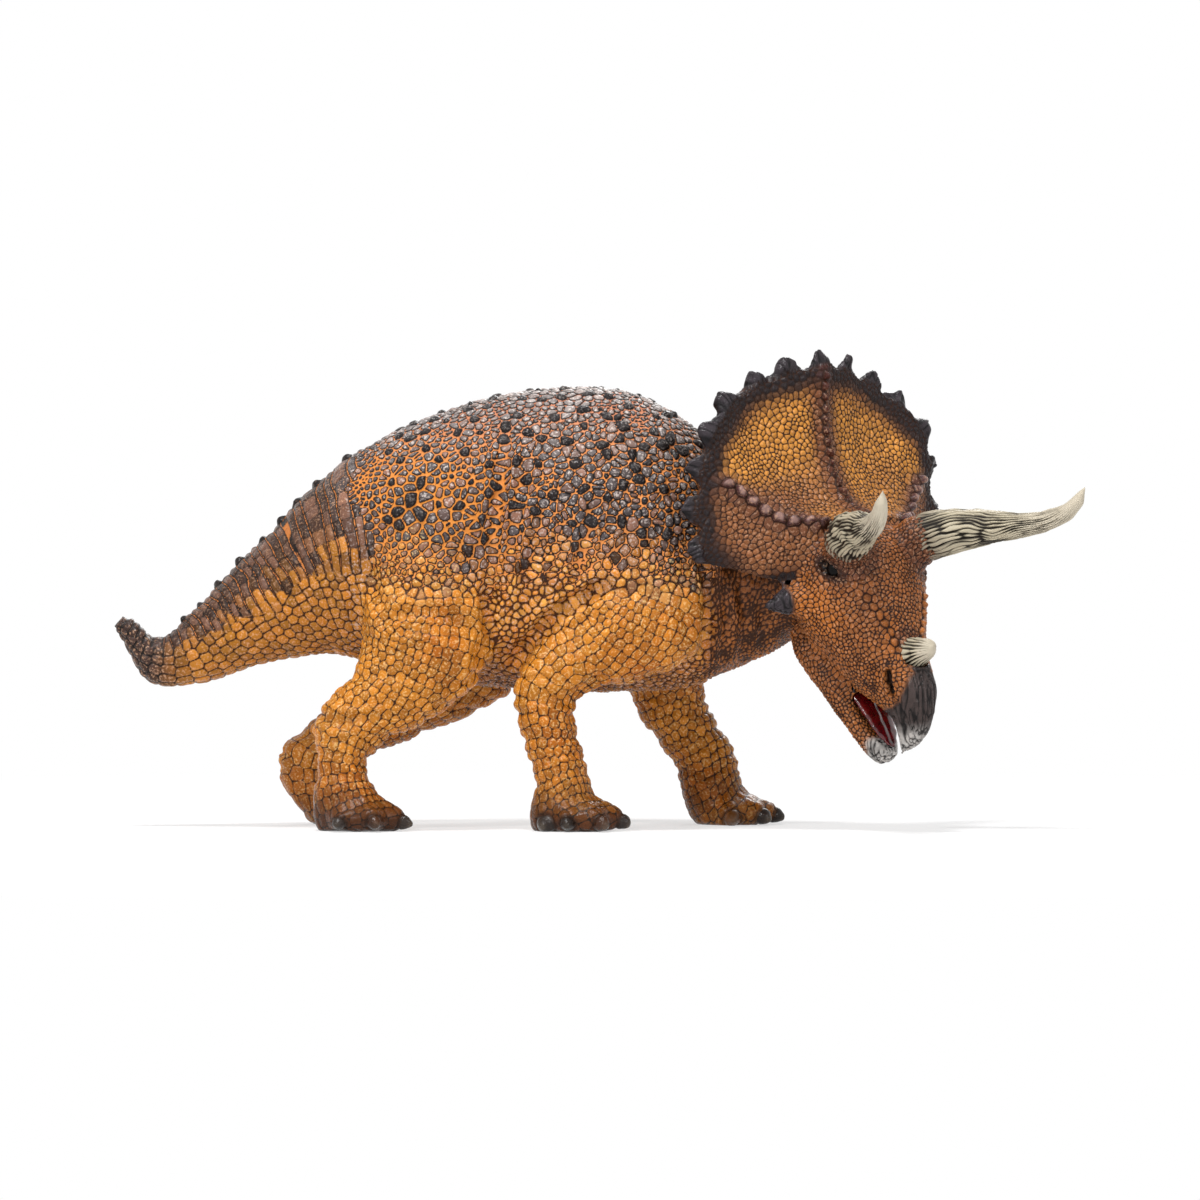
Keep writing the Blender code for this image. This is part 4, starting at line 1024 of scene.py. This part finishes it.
def eyelids(away):
    """Distance from the middle of an eye, 1 on the rim of its opening."""
    return np.sqrt((away[:, 0] / EYE_SLIT_LENGTH) ** 2 + (away[:, 2] / EYE_SLIT_HEIGHT) ** 2)


def carve_eye(local, eye):
    """Eyelids round the eye, the opening between them and the wrinkles under it."""
    away = local - eye
    radius = eyelids(away)
    near = bump(np.linalg.norm(away, axis=1), 0.006)
    lids = LID_RISE * bump(radius - 1.45, 0.33)
    opening = -SOCKET_DEPTH * (1 - ramp(radius, 0.75, 1.15))
    rings = 0.00026 * np.cos(math.tau * (radius - 1.45) / 1.1) * ramp(radius, 1.7, 2.4) * (away[:, 2] < 0)
    return (lids + opening + rings) * near


def beak_depth(local):
    """How far down the beak's own slope a place in the head lies."""
    return local @ np.array((0.588, 0, -0.809))


def frill_inset(points, weights):
    """How far inside the frill's outline each point lies, and its angle round the frill."""
    local = in_head(points)
    across = local[:, 1]
    back = FRILL_RISE_share - local[:, 0] / SKULL_LENGTH
    rise = local[:, 2] / SKULL_LENGTH * 0.49 + back * 0.87
    rise = rise * SKULL_LENGTH
    angle = np.arctan2(across, rise)
    reach = np.hypot(across, rise)
    bins = ((angle + math.pi) / math.tau * 90).astype(int)
    frill = weights[:, 1] > 0.5
    outer = np.zeros(91)
    np.maximum.at(outer, bins[frill], reach[frill])
    padded_outer = np.maximum.reduce([np.roll(outer, shift) for shift in range(-3, 4)])
    for _ in range(2):
        padded_outer = (np.roll(padded_outer, 1) + 2 * padded_outer + np.roll(padded_outer, -1)) / 4
    limit = np.interp((angle + math.pi) / math.tau * 90, np.arange(91) + 0.5, padded_outer)
    return np.where(frill, limit - reach, 1.0), angle


FRILL_RISE_share = -0.22
RIM_WIDTH = 0.0034
RIM_SMOOTHING = 12
CHEEK_HORN_ROOT_shares = (-0.05, 0.37, -0.465)
CHEEK_HORN_TIP_shares = (-0.09, 0.745, -0.57)
SKULL_WIDTH = 0.0250


def cheek_horn_amount(local):
    """How far each point belongs to the spike on the cheek."""
    sizes = np.array((SKULL_LENGTH, SKULL_WIDTH, SKULL_LENGTH))
    root = np.array(CHEEK_HORN_ROOT_shares) * sizes
    tip = np.array(CHEEK_HORN_TIP_shares) * sizes
    axis = unit(tip - root)
    along = (local - root) @ axis
    off = np.linalg.norm(local - root - along[:, None] * axis, axis=1)
    length = np.linalg.norm(tip - root)
    return ramp(along, 0.42 * length, 0.55 * length) * (1 - ramp(off, 0.0034, 0.0042))


def streaks(points, local, inset, turn, rim):
    """Fine lines that run down the beak and out along the rim's spikes."""
    rim_places = np.stack((turn * 0.022, np.zeros(len(turn)), inset * 0.12), axis=1)
    rim_lines = 1 - np.abs(fuzz(rim_places, 0.00055, 80))
    depth = beak_depth(local)
    beak_places = np.stack((local[:, 0] * 0.809 + local[:, 2] * 0.588, local[:, 1], depth * 0.10), axis=1)
    beak_lines = 1 - np.abs(fuzz(beak_places, 0.00045, 81))
    return ramp(np.where(rim > 0.01, rim_lines, beak_lines), 0.62, 0.98)


def paint_head(points, local, eye, marks, home, picks):
    """Paint of the scale tops, of the rings round them and of the net between them."""
    drift = fuzz(points, 0.008, 90)
    fleck = fuzz(points, 0.003, 91)
    ahead, side, up = local.T
    frill, rim, beak = (marks[name] for name in ("frill", "rim", "beak"))
    first, second, _ = picks[home].T

    def whole(values):
        return cell_means(home, len(picks), values)

    cheek = bump(np.linalg.norm((local - eye - (0.001, 0, -0.007)) * (0.7, 0.5, 1), axis=1), 0.0055)
    face = mixed(FACE_BROWN, FACE_ORANGE, whole(np.clip(cheek + 0.35 * ramp(ahead / SKULL_LENGTH, 0.3, 0.6), 0, 1)))
    face = mixed(face, FACE_PURPLE, whole(ramp(drift, 0.2, 0.9)) * 0.35)
    # Painted shade: dark purple painted round the eye, in its socket under the brow horn
    socket_shade = bump(np.linalg.norm((local - eye) * (0.8, 0.6, 0.9), axis=1), 0.0036)
    face = mixed(face, FACE_PURPLE, np.clip(socket_shade * 0.7, 0, 1))
    for node, radius in (("right_brow_horn", 0.0050), ("nose_horn", 0.0026)):
        root = folded(in_head(np.array(horn_line(node)[0])))
        cuff = 1 - ramp(np.linalg.norm(local - root, axis=1), radius, radius * 1.35)
        face = mixed(face, FACE_PURPLE, cuff * 0.7)
    face = mixed(face, FACE_PURPLE * 0.5, 1 - ramp(marks["lids"], 1.6, 2.3))
    face = mixed(face, NOSTRIL_BLACK, 1 - ramp(marks["lids"], 0.95, 1.2))

    away_from_rim = ramp(whole(marks["inset"] + 0.0012 * drift), 0.0050, 0.0105)
    gilded = ramp(whole(up / SKULL_LENGTH + 0.12 * drift), -0.15, 0.12) * ramp(side, 0.0016, 0.0042)
    gold = mixed(FRILL_BROWN, FRILL_GOLD, gilded * away_from_rim * (1 - ramp(marks["row"], 0.2, 0.6)))
    gold = mixed(gold, RIM_DARK, 1 - ramp(whole(marks["inset"] + 0.0008 * fleck), 0.0054, 0.0088))
    gold = mixed(gold, RIDGE_RED, bump(whole(side), RIDGE_HALF_WIDTH * 1.1))
    gold = mixed(gold, FRILL_BROWN * 0.6, 1 - marks["facing"])
    top = mixed(face, gold, frill)
    top = mixed(top, ROW_PURPLE, np.clip(whole(marks["row"]) * 1.3, 0, 1))
    ring = mixed(FACE_RING, FRILL_RING, frill)
    spiky = np.maximum(rim, marks["cheek_horn"])
    top = mixed(top, SPIKE_GREY, spiky)
    ring = mixed(ring, SPIKE_RING, spiky)
    pale = ramp(marks["beak_depth"] + 0.0008 * fleck, -0.0056, -0.0018)
    top = mixed(top, mixed(BEAK_GREY, BEAK_PALE, pale), beak)
    ring = mixed(ring, BEAK_RING, beak)
    top = mixed(top, NOSTRIL_BLACK, ramp(marks["nostril"], 0.25, 0.5))
    return {"top": top, "ring": ring, "net": ring}


# Horns
HORN_STUB = 0.0022
HORN_IVORY = srgb(180, 170, 147)
HORN_TIP = srgb(190, 180, 161)
HORN_BASE = srgb(142, 131, 113)
HORN_GROOVE = srgb(20, 14, 9)
HORN_GROOVE_DEPTH = 0.00030
HORN_TIP_GROWTH = 0.00035
HORN_LINE_PITCH = 0.00084
FINEST_LINES = (0.00022, 0.00040)
STREAK_LENGTH = 0.0110
STREAK_RADIUS = 0.0026


def horn_line(node):
    """Root of a horn, its direction and its length, from the solid's own points."""
    points = read(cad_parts[node].data.vertices, "co", 3, np.float32).astype(float)
    distance = np.linalg.norm(points - HEAD_ORIGIN - (HEAD_TURN[0] * 0.2 - HEAD_TURN[2] * 0.3) * SKULL_LENGTH, axis=1)
    tip = points[np.argmax(distance)]
    near = points[np.argsort(distance)[:len(points) // 6]]
    root = near.mean(0)
    length = np.linalg.norm(tip - root)
    return Vector(root), Vector(unit(tip - root)), length


def horn_piece(node):
    """A horn with wavy grooves that run up to its tip."""
    bm = grown_solid(node, HORN_TIP_GROWTH)
    skin = fused_skin([bm], HORN_VOXEL)
    root, direction, length = horn_line(node)
    axis = limb_axis(node, direction, 0.0016)
    along, _, _ = limb_places(skin.points, axis, np.array((0.0, 0.3, 1.0)))
    far = ramp(along / length, 0.55, 0.85)
    skin.points = mixed(skin.smooth(skin.points, 6), skin.smooth(skin.points, 18), far)
    slimmed = HORN_TIP_GROWTH * (1 - ramp(along / length, 0.6, 0.95))
    skin.points = skin.points - skin.normals() * slimmed[:, None]
    fine, _ = subdivided(skin, {})
    along, angle, radius = limb_places(fine.points, axis, np.array((0.0, 0.3, 1.0)))
    share = along / length
    girth = math.tau * np.percentile(radius[share < 0.3], 60)
    count = round(girth / HORN_LINE_PITCH)
    twist = angle + 0.26 * fuzz(fine.points, 0.006, 7) + 0.10 * fuzz(fine.points, 0.0020, 8)
    lines = 1 - np.abs(np.sin(twist * (count // 2)))
    round_places = np.stack((np.cos(angle), np.sin(angle), along / STREAK_LENGTH), axis=1) * STREAK_RADIUS
    branches = 1 - np.abs(fuzz(round_places, HORN_LINE_PITCH, 5))
    worn = 0.12 * fuzz(fine.points, 0.0030, 6) + 0.14 * (0.4 - share)
    groove = ramp(0.52 * lines + 0.62 * branches + worn, 0.46, 0.74)
    fade = (1 - 0.6 * ramp(share, 0.80, 1.0)) * ramp(math.tau * radius / count, *FINEST_LINES)
    fade = np.maximum(fade, 0.55 * ramp(branches, 0.7, 0.9) * ramp(share, 0.3, 0.5) * (1 - ramp(share, 0.9, 1.0)))
    normals = fine.smooth(fine.normals(), 2)
    lift = -HORN_GROOVE_DEPTH * groove * fade + 0.00006 * fuzz(fine.points, 0.0012, 12)
    fine.points = fine.points + normals * lift[:, None]
    count = len(fine.points)
    top = mixed(HORN_BASE, HORN_IVORY, ramp(share + 0.08 * fuzz(fine.points, 0.003, 2), 0.0, 0.30))
    top = mixed(top, HORN_TIP, ramp(share, 0.55, 0.85))
    ring = mixed(HORN_GROOVE, HORN_IVORY * 0.4, ramp(share, 0.70, 0.95))
    numbers = {"edge": np.full(count, NO_EDGE * 1000), "net": np.zeros(count), "groove": groove * fade,
               "tone": np.full(count, 0.6), "gloss": np.full(count, 0.3), "drybrush_and_glint": np.zeros(count)}
    return fine, {"top": top, "ring": ring, "net": ring}, numbers


def part_mesh(name, skin, faces, normals, paints, numbers):
    """One closed piece of a skin: the chosen faces, with hidden caps over their open rims.

    Each cap starts with a collar straight into the piece, so that it can't show in a groove.
    """
    quads = skin.quads[faces]
    used = np.unique(quads)
    number = np.full(len(skin.points), -1)
    number[used] = np.arange(len(used))
    quads = number[quads]
    points = skin.points[used]
    starts = quads.ravel()
    ends = np.roll(quads, -1, axis=1).ravel()
    keys = starts.astype(np.int64) * len(used) + ends
    mirror = ends.astype(np.int64) * len(used) + starts
    open_edges = ~np.isin(keys, mirror)
    follow = dict(zip(starts[open_edges].tolist(), ends[open_edges].tolist()))
    extra, caps = [], []
    middle = points.mean(0)
    while follow:
        first, current = follow.popitem()
        loop = [first]
        while current != first:
            loop.append(current)
            current = follow.pop(current)
        rim = points[loop]
        centre = rim.mean(0)
        depth = np.linalg.norm(rim - centre, axis=1).mean()
        centre = centre + unit(middle - centre) * depth * CAP_DEPTH_share
        inner = len(used) + len(extra) + np.arange(len(loop))
        hub = inner[-1] + 1
        extra += [*(rim - normals[used[loop]] * COLLAR_DEPTH), centre]
        for before, after, below, beyond in zip(loop, loop[1:] + loop[:1], inner, np.roll(inner, -1)):
            caps += [(after, before, below), (after, below, beyond), (beyond, below, hub)]
    corners = np.concatenate((quads.ravel(), np.array(caps, int).ravel()))
    face_starts = np.concatenate((np.arange(len(quads)) * 4, len(quads) * 4 + np.arange(len(caps)) * 3))
    all_points = np.vstack((points, np.array(extra).reshape(-1, 3)))
    mesh = build_mesh(name, all_points, face_starts, corners)

    def with_extra(values):
        tail = np.repeat(values[used][:1], len(extra), axis=0)
        return np.concatenate((values[used], tail))

    for field, colours in paints.items():
        add_colours(mesh, field + "_paint", with_extra(colours))
    for field, values in numbers.items():
        add_numbers(mesh, field, with_extra(values))
    mesh.normals_split_custom_set_from_vertices(with_extra(normals).astype(np.float32))
    return mesh


CAP_DEPTH_share = 0.35
COLLAR_DEPTH = 0.0010


def without_islands(pairs, owner):
    """Owners of the faces once each node keeps only its largest patch."""
    same = owner[pairs[:, 0]] == owner[pairs[:, 1]]
    patch = connected(len(owner), pairs[same])
    names, index, sizes = np.unique(patch, return_inverse=True, return_counts=True)
    largest = np.zeros(len(names), bool)
    for node in np.unique(owner):
        largest[np.argmax(np.where(owner[names] == node, sizes, 0))] = True
    kept = largest[index]
    owner = owner.copy()
    while not kept.all():
        for one, other in (pairs.T, pairs.T[::-1]):
            grows = ~kept[one] & kept[other]
            owner[one[grows]] = owner[other[grows]]
            kept[one[grows]] = True
    return owner


def face_owners(skin, weights):
    """Which node each face belongs to, with no spot where one node's faces meet corner to corner."""
    owner = np.argmax(weights[skin.quads].mean(1), axis=1)
    starts = skin.quads.ravel()
    ends = np.roll(skin.quads, -1, axis=1).ravel()
    face = np.repeat(np.arange(len(skin.quads)), 4)
    low = np.minimum(starts, ends).astype(np.int64)
    high = np.maximum(starts, ends)
    order = np.argsort(low * len(skin.points) + high, kind="stable")
    pairs = face[order].reshape(-1, 2)
    edge_ends = np.stack((low[order][::2], high[order][::2]), axis=1)
    for _ in range(12):
        owner = without_islands(pairs, owner)
        split = owner[pairs[:, 0]] != owner[pairs[:, 1]]
        counts = np.bincount(edge_ends[split].ravel(), minlength=len(skin.points))
        votes = np.zeros((len(skin.points), weights.shape[1]))
        np.add.at(votes, (starts, np.repeat(owner, 4)), 1)
        meeting = (votes > 0).sum(1)
        crossed = (counts > 2) & ~((meeting > 2) & (counts == meeting))
        if not crossed.any():
            break
        majority = np.argmax(votes, axis=1)
        for column in range(4):
            here = crossed[skin.quads[:, column]]
            owner = np.where(here, majority[skin.quads[:, column]], owner)
    return owner


def place_piece(name, mesh, material, *nodes):
    """Put a piece in the scene, riding on the figure's body in place of CAD nodes."""
    obj = bpy.data.objects.new(name, mesh)
    bpy.context.scene.collection.objects.link(obj)
    mesh.materials.append(material)
    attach(obj, "root")
    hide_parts(*nodes)
    return obj


def painted_material(name, roughness, glint, mottle, relief, relief_size):
    """Painted soft plastic: scale tops, dark rings and the net between, washes and a fine grain."""
    material = bpy.data.materials.new(name)
    material.use_nodes = True
    nodes = material.node_tree.nodes
    links = material.node_tree.links
    shader = nodes["Principled BSDF"]

    def attribute(field):
        node = nodes.new("ShaderNodeAttribute")
        node.attribute_name = field
        return node

    def noise(size, detail):
        node = nodes.new("ShaderNodeTexNoise")
        node.inputs["Scale"].default_value = 1 / size
        node.inputs["Detail"].default_value = detail
        links.new(place.outputs["Object"], node.inputs["Vector"])
        return node.outputs["Fac"]

    def math_node(operation, first, second, clamp=False):
        node = nodes.new("ShaderNodeMath")
        node.operation = operation
        node.use_clamp = clamp
        for socket, value in zip(node.inputs, (first, second)):
            if isinstance(value, (int, float)):
                socket.default_value = value
            else:
                links.new(value, socket)
        return node.outputs[0]

    def mix(kind, amount, first, second):
        node = nodes.new("ShaderNodeMix")
        node.data_type = "RGBA"
        node.blend_type = kind
        for socket, value in zip((node.inputs["Factor"], node.inputs["A"], node.inputs["B"]),
                                 (amount, first, second)):
            if isinstance(value, (int, float, tuple)):
                socket.default_value = value
            else:
                links.new(value, socket)
        return node.outputs["Result"]

    place = nodes.new("ShaderNodeTexCoord")
    edge, net, groove, tone, gloss, drybrush_and_glint = (
        attribute(field).outputs["Fac"] for field in ("edge", "net", "groove", "tone", "gloss", "drybrush_and_glint"))
    speck = noise(0.00030, 3)
    cloud = noise(0.0030, 4)
    ragged = math_node("ADD", edge, math_node("MULTIPLY", math_node("SUBTRACT", speck, 0.5), RAGGED_EDGE))
    past_net = math_node("SUBTRACT", ragged, net)
    inside = math_node("MULTIPLY", math_node("SUBTRACT", past_net, RING_WIDTH), 1 / RING_SOFTNESS, True)
    ring = math_node("MAXIMUM", math_node("SUBTRACT", 1.0, inside), groove)
    bare = math_node("MULTIPLY", past_net, -1 / NET_SOFTNESS, True)
    bare = math_node("MULTIPLY", bare, math_node("MULTIPLY", net, 1 / NET_SOFTNESS, True))

    top = attribute("top_paint").outputs["Color"]
    shade = math_node("ADD", math_node("MULTIPLY", tone, 0.46), 0.74)
    grey = nodes.new("ShaderNodeCombineColor")
    for socket in grey.inputs:
        links.new(shade, socket)
    top = mix("MULTIPLY", 1.0, top, grey.outputs["Color"])
    # Pale flecks on the scale tops: partly dry-brushed paint, partly painted glints
    lit = math_node("MULTIPLY", math_node("SUBTRACT", noise(0.00045, 2), 0.52, True), 7.0, True)
    lit = math_node("MULTIPLY", lit, drybrush_and_glint)
    top = mix("MIX", lit, top, (*glint, 1))
    colour = mix("MIX", ring, top, attribute("ring_paint").outputs["Color"])
    colour = mix("MIX", bare, colour, attribute("net_paint").outputs["Color"])
    wash = math_node("MULTIPLY", math_node("SUBTRACT", cloud, 0.45, True), mottle * 4, True)
    colour = mix("MULTIPLY", wash, colour, (0.55, 0.42, 0.34, 1))
    links.new(colour, shader.inputs["Base Color"])
    rough = math_node("ADD", math_node("MULTIPLY", speck, 0.20), roughness - 0.10)
    rough = math_node("ADD", rough, math_node("MULTIPLY", ring, 0.20))
    rough = math_node("SUBTRACT", rough, math_node("MULTIPLY", gloss, 0.10), True)
    links.new(rough, shader.inputs["Roughness"])
    shader.inputs["Specular IOR Level"].default_value = 0.17
    grain = nodes.new("ShaderNodeBump")
    grain.inputs["Strength"].default_value = 0.7
    grain.inputs["Distance"].default_value = relief
    links.new(noise(relief_size, 2), grain.inputs["Height"])
    links.new(grain.outputs["Normal"], shader.inputs["Normal"])
    return material


# Paint in millimetres: the ring round a scale and how soft its two sides are
RING_WIDTH = 0.07
RING_SOFTNESS = 0.15
NET_SOFTNESS = 0.06
RAGGED_EDGE = 0.16

# Pale flecks on the tops of the scales: partly dry-brushed paint, partly painted glints
GLINT_FLECK_GREY = srgb(216, 202, 194)
GLINT_FLECK_STRAW = srgb(250, 214, 146)
GLINT_FLECK_ROSE = srgb(226, 176, 138)


def add_skin_pieces(result, nodes, roughness):
    """Part a skin at the seams and put its pieces in the scene."""
    skin, weights, other, paints, numbers = result
    normals = skin.normals()
    owner = face_owners(skin, np.column_stack((weights, other)))
    for index, node in enumerate(nodes):
        mesh = part_mesh(node + "_skin", skin, owner == index, normals, paints, numbers)
        glint = GLINT_FLECK_STRAW if node in LEG_NODES else GLINT_FLECK_ROSE
        glint = GLINT_FLECK_GREY if node == "torso" else glint
        material = painted_material(node + "_paint", roughness, glint, 0.14, 0.00012, 0.00030)
        place_piece(node + "_skin", mesh, material, node)


def add_horns():
    """The two brow horns and the nose horn."""
    for node in ("right_brow_horn", "left_brow_horn", "nose_horn"):
        fine, paints, numbers = horn_piece(node)
        every = np.ones(len(fine.quads), bool)
        mesh = part_mesh(node + "_bone", fine, every, fine.normals(), paints, numbers)
        material = painted_material(node + "_paint", 0.42, HORN_TIP, 0.08, 0.00005, 0.00025)
        place_piece(node + "_bone", mesh, material, node)


def gloss_material(name, colour, roughness, coat, mottle_colour, size, specular=0.5):
    """Glossy paint with faint mottling."""
    material = bpy.data.materials.new(name)
    material.use_nodes = True
    nodes = material.node_tree.nodes
    links = material.node_tree.links
    shader = nodes["Principled BSDF"]
    place = nodes.new("ShaderNodeTexCoord")
    noise = nodes.new("ShaderNodeTexNoise")
    noise.inputs["Scale"].default_value = 1 / size
    links.new(place.outputs["Object"], noise.inputs["Vector"])
    ramp_node = nodes.new("ShaderNodeValToRGB")
    ramp_node.color_ramp.elements[0].position = 0.35
    ramp_node.color_ramp.elements[0].color = (*colour, 1)
    ramp_node.color_ramp.elements[1].position = 0.70
    ramp_node.color_ramp.elements[1].color = (*mottle_colour, 1)
    links.new(noise.outputs["Fac"], ramp_node.inputs["Fac"])
    links.new(ramp_node.outputs["Color"], shader.inputs["Base Color"])
    shader.inputs["Roughness"].default_value = roughness
    shader.inputs["Specular IOR Level"].default_value = specular
    shader.inputs["Coat Weight"].default_value = coat
    shader.inputs["Coat Roughness"].default_value = 0.06
    return material


def add_eyes():
    """Glossy dark eyeballs."""
    for side in ("right", "left"):
        lo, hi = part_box(side + "_eye")
        bm = bmesh.new()
        bmesh.ops.create_icosphere(bm, subdivisions=4, radius=(hi - lo).x / 2 * 0.97,
                                   matrix=Matrix.Translation((lo + hi) / 2))
        mesh = bpy.data.meshes.new(side + "_eyeball")
        bm.to_mesh(mesh)
        bm.free()
        mesh.shade_smooth()
        paint = (srgb(5, 4, 4), 0.22, 0.0, srgb(14, 8, 6), 0.0008)
        material = gloss_material(side + "_eye_paint", *paint, specular=0.12)
        place_piece(side + "_eyeball", mesh, material, side + "_eye")


def add_mouth():
    """The wet red floor of the mouth."""
    skin = fused_skin([grown_solid("mouth_insert", 0)], HORN_VOXEL)
    skin.points = skin.smooth(skin.points, 3)
    fine, _ = subdivided(skin, {})
    local = in_head(fine.points)
    lift = 0.00012 * fuzz(fine.points, 0.0011, 3) - 0.0002 * bump(local[:, 1], 0.0005)
    fine.points = fine.points + fine.normals() * lift[:, None]
    every = np.ones(len(fine.quads), bool)
    mesh = part_mesh("mouth_floor", fine, every, fine.normals(), {}, {})
    material = gloss_material("mouth_paint", srgb(98, 6, 12), 0.22, 0.4, srgb(52, 3, 6), 0.0011)
    place_piece("mouth_floor", mesh, material, "mouth_insert")


def seen_rays(nodes, links):
    """1 where a camera sees a surface straight, or in a mirror or through glass."""
    rays = nodes.new("ShaderNodeLightPath")
    seen = rays.outputs["Is Camera Ray"]
    for kind in ("Is Glossy Ray", "Is Transmission Ray"):
        either = nodes.new("ShaderNodeMath")
        either.operation = "MAXIMUM"
        links.new(seen, either.inputs[0])
        links.new(rays.outputs[kind], either.inputs[1])
        seen = either.outputs[0]
    return seen


def floor_material():
    """A pale floor, seen as plain white away from the figure and with its shadow near it."""
    material = bpy.data.materials.new("floor_white")
    material.use_nodes = True
    nodes = material.node_tree.nodes
    links = material.node_tree.links
    shader = nodes["Principled BSDF"]
    shader.inputs["Base Color"].default_value = (0.93, 0.93, 0.93, 1)
    shader.inputs["Roughness"].default_value = 0.9
    glow = nodes.new("ShaderNodeEmission")
    place = nodes.new("ShaderNodeTexCoord")
    distance = nodes.new("ShaderNodeVectorMath")
    distance.operation = "LENGTH"
    links.new(place.outputs["Object"], distance.inputs[0])
    share = nodes.new("ShaderNodeMapRange")
    for socket, value in zip(share.inputs[1:5], (*SHADOW_REACH, *WHITE_SHARES)):
        socket.default_value = value
    links.new(distance.outputs["Value"], share.inputs["Value"])
    scaled = nodes.new("ShaderNodeMath")
    scaled.operation = "MULTIPLY"
    links.new(share.outputs["Result"], scaled.inputs[0])
    links.new(seen_rays(nodes, links), scaled.inputs[1])
    mix = nodes.new("ShaderNodeMixShader")
    links.new(scaled.outputs[0], mix.inputs["Fac"])
    links.new(shader.outputs[0], mix.inputs[1])
    links.new(glow.outputs[0], mix.inputs[2])
    links.new(mix.outputs[0], nodes["Material Output"].inputs["Surface"])
    return material


# Between these distances from the figure's middle the floor turns from its own shade to plain white
SHADOW_REACH = (0.09, 0.30)
WHITE_SHARES = (0.55, 1.0)


def add_stage():
    """A pale floor and a white surrounding."""
    bpy.ops.mesh.primitive_plane_add(size=12, location=(0, 0, 0))
    floor = bpy.context.active_object
    floor.name = "floor"
    floor.data.materials.append(floor_material())
    world = bpy.data.worlds.new("studio")
    bpy.context.scene.world = world
    world.use_nodes = True
    nodes = world.node_tree.nodes
    links = world.node_tree.links
    nodes.clear()
    soft = nodes.new("ShaderNodeBackground")
    soft.inputs["Color"].default_value = (1, 1, 1, 1)
    soft.inputs["Strength"].default_value = AMBIENT
    white = nodes.new("ShaderNodeBackground")
    white.inputs["Color"].default_value = (1, 1, 1, 1)
    white.inputs["Strength"].default_value = 1
    mix = nodes.new("ShaderNodeMixShader")
    out = nodes.new("ShaderNodeOutputWorld")
    links.new(seen_rays(nodes, links), mix.inputs["Fac"])
    links.new(soft.outputs[0], mix.inputs[1])
    links.new(white.outputs[0], mix.inputs[2])
    links.new(mix.outputs[0], out.inputs["Surface"])


AMBIENT = 0.20
# Lamps: place, size and power
LAMPS = (
    ("top", (-0.10, -0.25, 0.95), 0.16, 7.2),
    ("front_left", (-0.60, -0.85, 0.65), 0.14, 6.2),
    ("front_right", (0.75, -0.85, 0.40), 0.30, 3.0),
    ("back", (0.20, 0.90, 0.60), 0.40, 3.8),
)


def add_lamps():
    """Soft studio lamps round the figure."""
    for name, place, size, power in LAMPS:
        lamp = bpy.data.lights.new(name, "AREA")
        lamp.shape = "SQUARE"
        lamp.size = size
        lamp.energy = power
        obj = bpy.data.objects.new(name, lamp)
        bpy.context.scene.collection.objects.link(obj)
        obj.location = place
        obj.rotation_euler = (VIEW_TARGET - Vector(place)).to_track_quat("-Z", "Y").to_euler()


def add_camera():
    """The camera at the photograph's viewing angle."""
    camera = bpy.data.cameras.new("camera")
    camera.sensor_width = SENSOR_WIDTH
    camera.lens = SENSOR_WIDTH * CAMERA_DISTANCE / FIELD_WIDTH
    camera.clip_end = 4 * CAMERA_DISTANCE
    obj = bpy.data.objects.new("camera", camera)
    bpy.context.scene.collection.objects.link(obj)
    obj.location = camera_place()
    obj.rotation_euler = (VIEW_TARGET - obj.location).to_track_quat("-Z", "Y").to_euler()
    bpy.context.scene.camera = obj


bpy.context.scene.view_settings.view_transform = "Standard"
add_camera()
add_stage()
add_lamps()
add_skin_pieces(sculpt_body(), BODY_NODES, 0.26)
add_skin_pieces(sculpt_head(), HEAD_NODES, 0.28)
add_horns()
add_eyes()
add_mouth()
